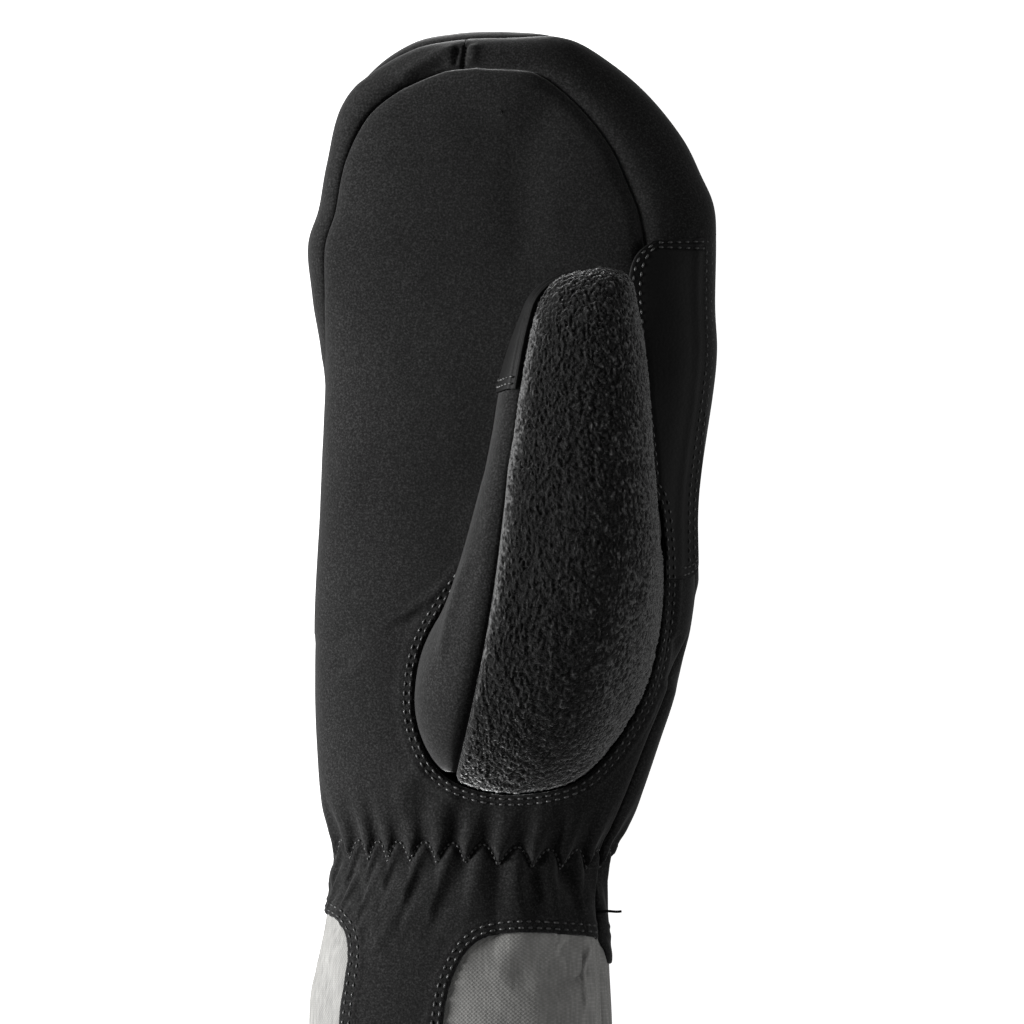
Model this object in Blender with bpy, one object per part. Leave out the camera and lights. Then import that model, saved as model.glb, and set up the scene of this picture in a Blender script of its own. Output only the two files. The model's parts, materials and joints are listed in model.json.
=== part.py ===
"""A padded softshell mitten for the right hand, lying on its back with the palm up.

Metres, +Z up. The fingertips point to +Y and the thumb is on the +X side. The origin is on the
surface that the mitten rests on, under the middle of its bounding box.

The hand is one closed form, like a sock: a row of rings from the hem to the fingertips, the last
ring folded flat into the line over the tip. The cloth panels are cut from that form along its
seams. The thumb is a second form, which grows out of an oval hole in the palm.
"""

import math
from collections import namedtuple

import bmesh
import bpy
from mathutils import Vector

# Driving dimensions
LENGTH = 0.280  # hem to fingertips
WIDTH = 0.1112  # across everything, seen from the palm
PALM_HEIGHT = 0.046  # floor to the palm at its highest
THUMB_WIDTH = 0.044  # across the thumb above the crotch
THUMB_DEPTH = 0.033  # palm side to nail side of the thumb, in the same place
THUMB_LIFT = 0.0025  # free air between the palm and the thumb at the crotch

# Cloth and seams
HAND_WALL = 0.0032  # padded softshell
CUFF_WALL = 0.0022  # softshell below the elastic
GORE_WALL = 0.0014  # woven cloth of the cuff
GORE_RECESS = 0.0005  # the softshell lies this much prouder than the woven cloth
THUMB_WALL = 0.0026  # fleece and softshell of the thumb
PATCH_WALL = 0.0009  # smooth reinforcement
PATCH_CLEARANCE = 0.0004  # between a reinforcement and the cloth under it
SEAM_GAP = 0.0003  # between two panels at a seam
SEAM_DEPTH = 0.0012  # how far a seam draws the surface in
HOLE_GAP = 0.0003  # between the thumb and the edge of its hole

# Elastic at the wrist
PLEAT_HEIGHT = 0.0014  # ridge or valley, from the mean surface
PLEAT_ZIGZAG = 0.0020  # half height of the zigzag that the elastic's stitching makes
PLEAT_REACH_UP = 0.024  # how far the pleats run towards the fingers
PLEAT_REACH_DOWN = 0.030  # how far they run towards the hem
ELASTIC_SHARE = 0.2155  # place of the elastic, as a share of LENGTH from the hem

# Fineness of the facets
PALM_COLUMNS = 12  # from the middle of the palm to its seam
GUSSET_COLUMNS = 3
BACK_COLUMNS = 9  # from the gusset to the middle of the back
HALF = PALM_COLUMNS + GUSSET_COLUMNS + BACK_COLUMNS
THUMB_COLUMNS = 24
THUMB_ROOT_ROWS = 8
ARC_SAMPLES = 48  # for spacing points evenly along a section
TANGENT_STEP = 0.05  # of a table's row, for the direction of a curve
SHARP_ANGLE = math.radians(50)  # edges sharper than this are shaded flat

# Rings of the hand. Each ring runs from the spine, inside the hand, out to a point on the left
# outline and one on the right. x is a share of WIDTH from the middle, y a share of LENGTH from
# the hem. Over the fingertips the rings lean forward until both outline points meet.
Ring = namedtuple("Ring", "spine_x spine_y left_x left_y right_x right_y")
BELOW_ELASTIC = ELASTIC_SHARE - 0.035
ABOVE_ELASTIC = ELASTIC_SHARE + 0.021
OVER_PLEATS = ELASTIC_SHARE + 0.048
RINGS = [
    Ring(-0.124, 0.000, -0.504, 0.000, 0.250, 0.000),
    Ring(-0.122, 0.077, -0.494, 0.077, 0.242, 0.077),
    Ring(-0.116, 0.134, -0.466, 0.134, 0.235, 0.134),
    Ring(-0.110, BELOW_ELASTIC, -0.446, BELOW_ELASTIC, 0.226, BELOW_ELASTIC),
    Ring(-0.102, ELASTIC_SHARE, -0.436, ELASTIC_SHARE, 0.240, ELASTIC_SHARE),
    Ring(-0.090, ABOVE_ELASTIC, -0.446, ABOVE_ELASTIC, 0.271, ABOVE_ELASTIC),
    Ring(-0.078, OVER_PLEATS, -0.463, OVER_PLEATS, 0.304, OVER_PLEATS),
    Ring(-0.058, 0.321, -0.475, 0.321, 0.354, 0.321),
    Ring(-0.039, 0.378, -0.480, 0.378, 0.400, 0.378),
    Ring(-0.019, 0.455, -0.480, 0.455, 0.438, 0.455),
    Ring(-0.009, 0.550, -0.468, 0.550, 0.441, 0.550),
    Ring(0.002, 0.646, -0.457, 0.646, 0.472, 0.646),
    Ring(0.006, 0.694, -0.460, 0.694, 0.482, 0.694),
    Ring(0.006, 0.742, -0.479, 0.742, 0.478, 0.742),
    Ring(0.003, 0.785, -0.487, 0.794, 0.480, 0.797),
    Ring(0.000, 0.816, -0.461, 0.830, 0.475, 0.831),
    Ring(-0.002, 0.847, -0.442, 0.873, 0.448, 0.859),
    Ring(-0.005, 0.874, -0.410, 0.926, 0.402, 0.897),
    Ring(-0.012, 0.895, -0.342, 0.962, 0.308, 0.943),
    Ring(-0.021, 0.910, -0.240, 0.989, 0.194, 0.979),
    Ring(-0.027, 0.918, -0.136, 0.998, 0.100, 0.996),
    Ring(-0.030, 0.921, -0.030, 1.000, -0.030, 1.000),
]
# Facets between one ring of the table and the next
RING_STEPS = [1, 1, 2, 2, 2, 2, 2, 1, 2, 2, 2, 1, 1, 1, 1, 1, 2, 2, 2, 2, 1]

# Height of the palm and of the back along the spine, as shares of PALM_HEIGHT, and the exponent
# of the superellipse that each side of a section follows: 2 is an ellipse, more is boxier.
Profile = namedtuple("Profile", "y palm back palm_shape back_shape")
PROFILES = [
    Profile(0.00, 1.04, 0.00, 2.2, 2.6),
    Profile(0.12, 1.00, 0.00, 2.2, 2.6),
    Profile(0.21, 0.93, 0.05, 2.1, 2.3),
    Profile(0.28, 0.97, 0.01, 2.3, 2.8),
    Profile(0.40, 1.00, -0.01, 2.6, 3.2),
    Profile(0.55, 0.99, -0.01, 2.8, 3.3),
    Profile(0.72, 0.94, -0.01, 2.8, 3.2),
    Profile(0.82, 0.88, 0.05, 2.7, 2.8),
    Profile(0.921, 0.81, 0.16, 2.4, 2.4),
]

# Where the seams run round each side, in degrees: 90 is the middle of the palm, 0 the outline
# and -90 the middle of the back.
Seams = namedtuple("Seams", "y palm_left palm_right back_left back_right")
SEAMS = [
    Seams(0.000, -8.0, 21.0, -30.0, -24.0),
    Seams(0.140, -8.0, 20.0, -30.0, -24.0),
    Seams(0.208, -8.0, 19.0, -30.0, -24.0),
    Seams(0.263, -12.0, 24.0, -34.0, -24.0),
    Seams(0.360, -15.0, 17.0, -36.0, -24.0),
    Seams(0.430, -16.0, 2.0, -38.0, -26.0),
    Seams(0.560, -14.0, 6.0, -40.0, -30.0),
    Seams(0.640, -7.0, 26.0, -38.0, -32.0),
    Seams(0.690, 1.0, 42.0, -36.0, -34.0),
    Seams(0.742, 15.0, 52.0, -34.0, -34.0),
    Seams(0.790, 21.0, 56.0, -32.0, -34.0),
    Seams(0.847, 22.0, 58.0, -28.0, -34.0),
    Seams(0.874, 33.0, 59.0, -14.0, -32.0),
    Seams(0.895, 43.0, 60.0, 6.0, -26.0),
    Seams(0.910, 52.0, 60.0, 18.0, -14.0),
    Seams(0.918, 57.0, 60.0, 22.0, 4.0),
    Seams(0.921, 60.0, 60.0, 22.0, 22.0),
]
GUSSET_END = {"left": 0.407, "right": 0.455}  # spine_y where each gusset stops

# Lower edge of the palm's and the back's softshell, where the woven gores of the cuff begin.
# The gore on each side is everything outside its edge. Shares as in RINGS, from the hem up.
GoreEdge = namedtuple("GoreEdge", "x y")
GORE_EDGES = {
    "little": [
        GoreEdge(-0.436, -0.030),
        GoreEdge(-0.426, 0.038),
        GoreEdge(-0.415, 0.078),
        GoreEdge(-0.402, 0.113),
        GoreEdge(-0.405, 0.132),
        GoreEdge(-0.418, 0.143),
        GoreEdge(-0.442, 0.152),
        GoreEdge(-0.520, 0.164),
    ],
    "index": [
        GoreEdge(-0.184, -0.030),
        GoreEdge(-0.173, 0.038),
        GoreEdge(-0.159, 0.078),
        GoreEdge(-0.137, 0.104),
        GoreEdge(-0.106, 0.123),
        GoreEdge(-0.063, 0.134),
        GoreEdge(0.016, 0.138),
        GoreEdge(0.120, 0.136),
        GoreEdge(0.204, 0.132),
        GoreEdge(0.225, 0.123),
        GoreEdge(0.236, 0.106),
    ],
}
GORE_TOP_RING = 3  # the cuff's own rings stop here, above the gores

# The hole that the thumb grows from, once round, clockwise as seen from above: its wrist end,
# its left side, the crotch and its right side. Twelve even steps of the thumb's turn. Shares as
# in RINGS.
HolePoint = namedtuple("HolePoint", "x y")
THUMB_HOLE = [
    HolePoint(0.005, 0.269),
    HolePoint(-0.137, 0.280),
    HolePoint(-0.215, 0.313),
    HolePoint(-0.240, 0.367),
    HolePoint(-0.195, 0.431),
    HolePoint(-0.030, 0.512),
    HolePoint(0.196, 0.562),
    HolePoint(0.328, 0.562),
    HolePoint(0.374, 0.517),
    HolePoint(0.358, 0.434),
    HolePoint(0.304, 0.354),
    HolePoint(0.172, 0.286),
]

# Free part of the thumb, from the crotch to its tip. y is a share of LENGTH and middle one of
# WIDTH, half one of THUMB_WIDTH, and lift and depth are shares of THUMB_DEPTH: the air under
# the thumb beyond THUMB_LIFT, and its depth there.
ThumbRing = namedtuple("ThumbRing", "y middle half lift depth")
THUMB_RINGS = [
    ThumbRing(0.579, 0.137, 0.515, 0.00, 1.00),
    ThumbRing(0.617, 0.144, 0.485, 0.02, 1.00),
    ThumbRing(0.656, 0.149, 0.457, 0.06, 0.96),
    ThumbRing(0.694, 0.156, 0.412, 0.11, 0.89),
    ThumbRing(0.722, 0.163, 0.365, 0.17, 0.80),
    ThumbRing(0.742, 0.169, 0.322, 0.24, 0.68),
    ThumbRing(0.756, 0.179, 0.255, 0.32, 0.52),
    ThumbRing(0.7645, 0.193, 0.160, 0.42, 0.33),
]
THUMB_TIP = ThumbRing(0.769, 0.205, 0.0, 0.58, 0.0)
THUMB_TIP_ROW = THUMB_ROOT_ROWS + 1 + len(THUMB_RINGS)
THUMB_SHAPE = 2.3  # exponent of its section
THUMB_RISE = 0.30  # handle of the root's curves, along the palm's normal, as a share of the span
THUMB_REACH = 0.36  # handle along the thumb
THUMB_LEAN = 0.55  # forward lean of the lower handle at the wrist end
THUMB_FLARE = {"left": 0.28, "right": 0.10}  # sideways spread of the upper handles
FLEECE_SEAM_ROOT = 33.0  # degrees round the thumb from its nail side, at the hole
FLEECE_SEAM = 51.0  # the same along the free part
FLEECE_SEAM_UNDER = 247.0  # the fleece's other seam, under the thumb
FRONT_COLUMNS = (4, 16)  # columns between the two seams of the fleece
THUMB_PATCH_ROW = 2  # ring of THUMB_RINGS where the thumb's reinforcement ends

# Left edge of the index reinforcement, from its top to its foot. x is a share of WIDTH. The
# thumb's hole cuts its lower rows.
PatchRow = namedtuple("PatchRow", "y left_x")
INDEX_PATCH = [
    PatchRow(0.8010, 0.338),
    PatchRow(0.7960, 0.317),
    PatchRow(0.7870, 0.296),
    PatchRow(0.7720, 0.281),
    PatchRow(0.7480, 0.276),
    PatchRow(0.7030, 0.285),
    PatchRow(0.6460, 0.298),
    PatchRow(0.6000, 0.312),
    PatchRow(0.5600, 0.322),
    PatchRow(0.5200, 0.330),
    PatchRow(0.4760, 0.338),
]
PATCH_COLUMNS = 7
PATCH_SIDE = 2.0  # degrees round the side where the reinforcement ends
PATCH_CORNER = 0.016  # rounding of its lower outer corner, as a share of LENGTH
PATCH_FOOT = 0.084  # share of LENGTH over which its rows bend towards that corner

SOFTSHELL = ("softshell", (0.018, 0.018, 0.019), 0.85)
FLEECE = ("fleece", (0.035, 0.035, 0.037), 0.95)
REINFORCEMENT = ("reinforcement", (0.010, 0.010, 0.011), 0.55)
WOVEN = ("woven", (0.38, 0.38, 0.38), 0.75)


def clear_scene():
    for obj in list(bpy.data.objects):
        bpy.data.objects.remove(obj)


def material(name, colour, roughness):
    found = bpy.data.materials.get(name) or bpy.data.materials.new(name)
    found.use_nodes = True
    shader = found.node_tree.nodes["Principled BSDF"]
    shader.inputs["Base Color"].default_value = (*colour, 1)
    shader.inputs["Roughness"].default_value = roughness
    shader.inputs["Metallic"].default_value = 0
    return found


def smooth(t):
    t = min(1.0, max(0.0, t))
    return t * t * (3 - 2 * t)


def spline(a, b, c, d, t):
    """Catmull-Rom between b and c."""
    return b + 0.5 * t * (c - a + t * (2 * a - 5 * b + 4 * c - d + t * (3 * (b - c) + d - a)))


def along(rows, t):
    """The table read at the fractional row t, smoothly, as one of its own rows."""
    i = min(len(rows) - 2, max(0, int(t)))
    near = [rows[min(len(rows) - 1, max(0, i + k))] for k in (-1, 0, 1, 2)]
    return type(rows[0])(*(spline(*values, t - i) for values in zip(*near)))


def at_height(rows, y):
    """The table read where its y column reaches y."""
    i = max(0, min(len(rows) - 2, sum(row.y < y for row in rows) - 1))
    t = (y - rows[i].y) / (rows[i + 1].y - rows[i].y)
    return along(rows, i + min(1.0, max(0.0, t)))


def flat(x, y):
    """Shares of WIDTH and LENGTH, as in the tables, to metres."""
    return Vector((x * WIDTH, (y - 0.5) * LENGTH, 0))


def section_point(ring, side, degrees):
    """A point of the hand's outer surface, before the pleats."""
    profile = at_height(PROFILES, ring.spine_y)
    spine = flat(ring.spine_x, ring.spine_y)
    edge = flat(ring.left_x, ring.left_y) if side == "left" else flat(ring.right_x, ring.right_y)
    top = profile.palm * PALM_HEIGHT
    bottom = profile.back * PALM_HEIGHT
    middle = (top + bottom) / 2
    shape, end = (profile.palm_shape, top) if degrees > 0 else (profile.back_shape, bottom)
    turn = math.radians(abs(degrees))
    out = abs(math.cos(turn)) ** (2 / shape)
    up = abs(math.sin(turn)) ** (2 / shape)
    point = spine.lerp(edge, out)
    point.z = max(0.0, middle + (end - middle) * up)
    return point


def spaced(ring, side, start, stop, count):
    """count + 1 points between two angles of a section, evenly spaced along its curve."""
    angles = [start + (stop - start) * i / ARC_SAMPLES for i in range(ARC_SAMPLES + 1)]
    points = [section_point(ring, side, a) for a in angles]
    lengths = [0.0]
    for a, b in zip(points, points[1:]):
        lengths.append(lengths[-1] + (b - a).length)
    found = []
    for i in range(count + 1):
        want = lengths[-1] * i / count
        k = min(ARC_SAMPLES - 1, max(0, sum(length <= want for length in lengths) - 1))
        step = lengths[k + 1] - lengths[k]
        t = 0.0 if step == 0 else (want - lengths[k]) / step
        found.append(points[k].lerp(points[k + 1], t))
    return found


def half_section(ring, side):
    """Points from the middle of the palm round one side to the middle of the back."""
    seams = at_height(SEAMS, ring.spine_y)
    palm = seams.palm_left if side == "left" else seams.palm_right
    back = seams.back_left if side == "left" else seams.back_right
    spans = [(90, palm, PALM_COLUMNS), (palm, back, GUSSET_COLUMNS), (back, -90, BACK_COLUMNS)]
    points = []
    for start, stop, count in spans:
        points = points[:-1] + spaced(ring, side, start, stop, count)
    return points


def pleated(point, centre, y, column):
    """The elastic's pleats: ridges above it face valleys below, along a zigzag."""
    above = y > ELASTIC_SHARE
    reach = PLEAT_REACH_UP if above else PLEAT_REACH_DOWN
    fade = 1 - smooth(abs(y - ELASTIC_SHARE) * LENGTH / reach)
    sign = 1 if column % 2 == 0 else -1
    on_line = abs(y - ELASTIC_SHARE) < 1e-4
    outward = Vector((point.x - centre.x, 0, point.z - centre.z)).normalized()
    height = 0 if on_line else (sign if above else -sign) * PLEAT_HEIGHT * fade
    moved = point + outward * height
    moved.y -= sign * PLEAT_ZIGZAG * fade
    moved.z = max(0.0, moved.z)
    return moved


def ring_places():
    """Fractional rows of RINGS where the facets' rings lie."""
    places = [0.0]
    for row, steps in enumerate(RING_STEPS):
        places += [row + (i + 1) / steps for i in range(steps)]
    return places


def hand_grid():
    """(points by (ring, column), spine_y of each ring). Column 0 is the middle of the palm,
    HALF the middle of the back; the columns between them run down the left side."""
    points, heights = {}, []
    places = ring_places()
    for k, place in enumerate(places):
        ring = along(RINGS, place)
        left, right = half_section(ring, "left"), half_section(ring, "right")
        centre = (left[0] + left[-1]) / 2
        whole = left + right[-2:0:-1]
        if k == len(places) - 1:
            whole = left
        for j, point in enumerate(whole):
            points[k, j] = pleated(point, centre, ring.spine_y, j)
        heights.append(ring.spine_y)
    return points, heights


def hand_key(k, j, last):
    """On the last ring both sides share their points."""
    j %= 2 * HALF
    return (k, 2 * HALF - j) if k == last and j > HALF else (k, j)


def quad_grid(rows, columns, key):
    """Corner keys of each facet, by (row, column) of its lower corner."""
    return {
        (k, j): [key(k, j), key(k + 1, j), key(k + 1, j + 1), key(k, j + 1)]
        for k in range(rows)
        for j in range(columns)
    }


def outward_normals(points, facets):
    """Normal of the whole form at each point, so that panels either side of a seam share it."""
    form = bmesh.new()
    verts = {key: form.verts.new(point) for key, point in points.items()}
    for corners in facets.values():
        distinct = list(dict.fromkeys(corners))
        form.faces.new([verts[key] for key in distinct])
    form.normal_update()
    normals = {key: vert.normal.copy() for key, vert in verts.items()}
    form.free()
    return normals


def boundary_insets(points, facets):
    """For each point on the rim of these facets, the unit step along the cloth away from it."""
    owners = {}
    for corners in facets:
        middle = sum((points[key] for key in corners), Vector()) / len(corners)
        for a, b in zip(corners, corners[1:] + corners[:1]):
            if a != b:
                owners.setdefault(frozenset((a, b)), []).append((a, b, middle))
    rim, steps = [], {}
    for found in owners.values():
        if len(found) > 1:
            continue
        a, b, middle = found[0]
        rim.append((a, b))
        edge = (points[b] - points[a]).normalized()
        inward = middle - points[a]
        inward = (inward - edge * inward.dot(edge)).normalized()
        for key in (a, b):
            steps[key] = steps.get(key, Vector()) + inward
    return rim, {key: step.normalized() for key, step in steps.items()}


def link(mesh, name, look, collection):
    obj = bpy.data.objects.new(name, mesh)
    mesh.materials.append(material(*look))
    mesh.shade_smooth()
    mesh.set_sharp_from_angle(angle=SHARP_ANGLE)
    collection.objects.link(obj)
    return obj


def cloth(name, points, normals, facets, outer, inner, look, collection):
    """One panel as a closed wall: its facets, moved out by outer(key) along the form's normals,
    the same facets at inner(key) facing the other way, and the cut edge between them. The
    normals are those of the whole form, so that the cut edges at a seam stay parallel."""
    facets = [list(dict.fromkeys(corners)) for corners in facets]
    rim, insets = boundary_insets(points, facets)
    keys = list(dict.fromkeys(key for corners in facets for key in corners))
    wall = bmesh.new()
    skins = []
    for level in (outer, inner):
        skins.append({})
        for key in keys:
            place = points[key] + insets.get(key, Vector()) * (SEAM_GAP / 2)
            skins[-1][key] = wall.verts.new(place + normals[key] * level(key))
    for corners in facets:
        wall.faces.new([skins[0][key] for key in corners])
        wall.faces.new([skins[1][key] for key in reversed(corners)])
    for a, b in rim:
        corners = [skins[0][b], skins[0][a], skins[1][a], skins[1][b]]
        if a > b:
            corners = corners[1:] + corners[:1]
        wall.faces.new(corners[:2] + corners[3:])
        wall.faces.new(corners[1:])
    mesh = bpy.data.meshes.new(name)
    wall.to_mesh(mesh)
    wall.free()
    return link(mesh, name, look, collection)


def prism(name, outline, bottom, top, collection):
    """An upright cutter over a flat outline."""
    block = bmesh.new()
    face = block.faces.new([block.verts.new((x, y, bottom)) for x, y in outline])
    block.normal_update()
    if face.normal.z > 0:
        face.normal_flip()
    extruded = bmesh.ops.extrude_face_region(block, geom=[face])["geom"]
    raised = [v for v in extruded if isinstance(v, bmesh.types.BMVert)]
    bmesh.ops.translate(block, verts=raised, vec=(0, 0, top - bottom))
    bmesh.ops.recalc_face_normals(block, faces=block.faces)
    mesh = bpy.data.meshes.new(name)
    block.to_mesh(mesh)
    block.free()
    cutter = bpy.data.objects.new(name, mesh)
    cutter.hide_render = True
    cutter.display_type = "WIRE"
    collection.objects.link(cutter)
    return cutter


def boolean(obj, cutter, operation):
    cut = obj.modifiers.new(f"{operation.lower()} {cutter.name}", "BOOLEAN")
    cut.operation = operation
    cut.object = cutter


def offset_curve(points, distance):
    """A flat curve moved sideways by distance, to the left of its run."""
    moved = []
    for i, (x, y) in enumerate(points):
        before = Vector(points[max(0, i - 1)])
        after = Vector(points[min(len(points) - 1, i + 1)])
        run = (after - before).normalized()
        moved.append((x - run.y * distance, y + run.x * distance))
    return moved


def gore_outline(side, inset):
    """The flat region of one gore, with its edge moved into it by inset."""
    rows = GORE_EDGES[side]
    steps = 3 * (len(rows) - 1)
    curve = [flat(*along(rows, i * (len(rows) - 1) / steps)).xy for i in range(steps + 1)]
    turn = 1 if side == "little" else -1
    curve = offset_curve([tuple(p) for p in curve], inset * turn)
    far = turn * -WIDTH
    return curve + [(far, curve[-1][1]), (far, curve[0][1])]


def closed_spline(rows, t):
    i = int(t) % len(rows)
    near = [rows[(i + k) % len(rows)] for k in (-1, 0, 1, 2)]
    return [spline(*values, t - int(t)) for values in zip(*near)]


def hole_point(degrees, inset):
    """A flat point of the thumb hole's edge, moved inwards by inset."""
    t = degrees / 360 * len(THUMB_HOLE)
    before, here, after = (
        flat(*closed_spline(THUMB_HOLE, (t + step) % len(THUMB_HOLE)))
        for step in (-TANGENT_STEP, 0.0, TANGENT_STEP)
    )
    run = (after - before).normalized()
    return here + Vector((run.y, -run.x, 0)) * inset


def palm_height(x, y):
    """Height of the palm over a flat point between the wrist and the fingertips."""
    share = y / LENGTH + 0.5
    row = next(i for i, ring in enumerate(RINGS) if ring.spine_y > share) - 1
    t = row + (share - RINGS[row].spine_y) / (RINGS[row + 1].spine_y - RINGS[row].spine_y)
    ring = along(RINGS, t)
    profile = at_height(PROFILES, ring.spine_y)
    spine = flat(ring.spine_x, ring.spine_y)
    edge = flat(ring.left_x, 0) if x < spine.x else flat(ring.right_x, 0)
    out = min(0.999, abs(x - spine.x) / abs(edge.x - spine.x))
    top, bottom = profile.palm * PALM_HEIGHT, profile.back * PALM_HEIGHT
    middle = (top + bottom) / 2
    return middle + (top - middle) * (1 - out**profile.palm_shape) ** (1 / profile.palm_shape)


def thumb_angle(column, root):
    """Degrees round the thumb of a column. root is 1 at the hole and 0 on the free part."""
    first, last = FRONT_COLUMNS
    seam = FLEECE_SEAM + (FLEECE_SEAM_ROOT - FLEECE_SEAM) * root
    marks = [(0, 0.0), (first, seam), (last, FLEECE_SEAM_UNDER), (THUMB_COLUMNS, 360.0)]
    for (a, low), (b, high) in zip(marks, marks[1:]):
        if column <= b:
            return low + (high - low) * (column - a) / (b - a)
    return 360.0


def thumb_section(ring, degrees):
    """A point of the thumb's free part: 0 degrees is its nail side, 90 its left."""
    base = palm_height(ring.middle * WIDTH, (ring.y - 0.5) * LENGTH)
    under = base + THUMB_LIFT + ring.lift * THUMB_DEPTH
    half_depth = ring.depth * THUMB_DEPTH / 2
    turn = math.radians(degrees)
    across, up = math.sin(turn), math.cos(turn)
    point = flat(ring.middle, ring.y)
    reach = abs(across) ** (2 / THUMB_SHAPE) * ring.half * THUMB_WIDTH
    point.x -= math.copysign(reach, across)
    point.z = under + half_depth * (1 + math.copysign(abs(up) ** (2 / THUMB_SHAPE), up))
    return point


def thumb_grid():
    """Points by (row, column): two rows through the palm's wall, the root, the free part and
    the tip, which is one point."""
    points = {}
    forward = Vector((0, 1, 0))
    for j in range(THUMB_COLUMNS):
        degrees = thumb_angle(j, 1.0)
        foot = hole_point(degrees, HOLE_GAP)
        foot.z = palm_height(foot.x, foot.y)
        points[0, j] = foot - Vector((0, 0, HAND_WALL))
        lean = forward * THUMB_LEAN * max(0.0, math.cos(math.radians(degrees)))
        rise = (Vector((0, 0, 1)) + lean).normalized()
        crown = thumb_section(THUMB_RINGS[0], thumb_angle(j, 0.0))
        across = math.sin(math.radians(degrees))
        flare = THUMB_FLARE["left" if across > 0 else "right"] * across
        span = (crown - foot).length
        start = foot + rise * span * THUMB_RISE
        stop = crown - (forward + Vector((flare, 0, 0))) * span * THUMB_REACH
        for i in range(THUMB_ROOT_ROWS + 1):
            t = i / THUMB_ROOT_ROWS
            low, mid, high = foot.lerp(start, t), start.lerp(stop, t), stop.lerp(crown, t)
            points[i + 1, j] = low.lerp(mid, t).lerp(mid.lerp(high, t), t)
        for i, ring in enumerate(THUMB_RINGS[1:]):
            row = THUMB_ROOT_ROWS + 2 + i
            points[row, j] = thumb_section(ring, thumb_angle(j, 0.0))
    points[THUMB_TIP_ROW, 0] = thumb_section(THUMB_TIP, 0.0)
    return points


def thumb_key(k, j):
    return (k, 0) if k == THUMB_TIP_ROW else (k, j % THUMB_COLUMNS)


def build_hand(parts, cutters):
    points, heights = hand_grid()
    last = len(heights) - 1
    facets = quad_grid(last, 2 * HALF, lambda k, j: hand_key(k, j, last))
    normals = outward_normals(points, facets)
    left_seams = (PALM_COLUMNS, PALM_COLUMNS + GUSSET_COLUMNS)
    right_seams = tuple(2 * HALF - j for j in left_seams)

    def panel_of(k, j):
        if j < left_seams[0] or j >= right_seams[0]:
            return "palm_panel"
        if j < left_seams[1] and heights[k] >= GUSSET_END["left"]:
            return "gusset_little"
        if j >= right_seams[1] and heights[k] >= GUSSET_END["right"]:
            return "gusset_index"
        return "back_panel"

    def drawn_in(key):
        """A seam draws the cloth in; the back's seams only beside a gusset."""
        k, j = key
        if j in (left_seams[0], right_seams[0]):
            return SEAM_DEPTH
        beside = heights[k] > min(GUSSET_END.values())
        return SEAM_DEPTH if beside and j in (left_seams[1], right_seams[1]) else 0.0

    def wall(key):
        share = smooth((heights[key[0]] - ELASTIC_SHARE) / ELASTIC_SHARE + 0.5)
        return CUFF_WALL + (HAND_WALL - CUFF_WALL) * share

    panels = {}
    for (k, j), corners in facets.items():
        panels.setdefault(panel_of(k, j), []).append(corners)
    made = {
        name: cloth(
            name, points, normals, found,
            lambda key: -drawn_in(key), lambda key: -drawn_in(key) - wall(key), SOFTSHELL, parts,
        )
        for name, found in panels.items()
    }

    cuff_rings = sum(RING_STEPS[:GORE_TOP_RING])
    for half, side in ((h, s) for h in ("palm", "back") for s in ("index", "little")):
        found = [
            corners for (k, j), corners in facets.items()
            if k < cuff_rings and panel_of(k, j) == f"{half}_panel"
        ]
        gore = cloth(
            f"cuff_{half}_{side}", points, normals, found,
            lambda key: -drawn_in(key) - GORE_RECESS,
            lambda key: -drawn_in(key) - GORE_RECESS - GORE_WALL, WOVEN, parts,
        )
        outline = gore_outline(side, SEAM_GAP)
        cutter = prism(f"keep_{half}_{side}", outline, -PALM_HEIGHT, 2 * PALM_HEIGHT, cutters)
        boolean(gore, cutter, "INTERSECT")
    for side in ("index", "little"):
        outline = gore_outline(side, 0.0)
        cutter = prism(f"gore_{side}", outline, -PALM_HEIGHT, 2 * PALM_HEIGHT, cutters)
        for name in ("palm_panel", "back_panel"):
            boolean(made[name], cutter, "DIFFERENCE")
    hole = [hole_point(i * 360 / (2 * THUMB_COLUMNS), 0.0).xy for i in range(2 * THUMB_COLUMNS)]
    cutter = prism("thumb_hole", hole, PALM_HEIGHT / 2, 2 * PALM_HEIGHT, cutters)
    boolean(made["palm_panel"], cutter, "DIFFERENCE")
    boolean(build_index_patch(parts), cutter, "DIFFERENCE")


def build_thumb(parts):
    points = thumb_grid()
    facets = quad_grid(THUMB_TIP_ROW, THUMB_COLUMNS, thumb_key)
    normals = outward_normals(points, facets)
    for j in range(THUMB_COLUMNS):
        normals[0, j] = normals[1, j]
    first, last = FRONT_COLUMNS
    front = [corners for (k, j), corners in facets.items() if first <= j < last]
    fleece = [corners for (k, j), corners in facets.items() if not first <= j < last]
    cloth("thumb_front", points, normals, front,
          lambda key: 0.0, lambda key: -THUMB_WALL, SOFTSHELL, parts)
    cloth("thumb_fleece", points, normals, fleece,
          lambda key: 0.0, lambda key: -THUMB_WALL, FLEECE, parts)
    patch_row = THUMB_ROOT_ROWS + 1 + THUMB_PATCH_ROW
    patch = [
        corners for (k, j), corners in facets.items() if first <= j < last and k >= patch_row
    ]
    cloth("thumb_patch", points, normals, patch,
          lambda key: PATCH_CLEARANCE + PATCH_WALL, lambda key: PATCH_CLEARANCE,
          REINFORCEMENT, parts)


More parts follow.
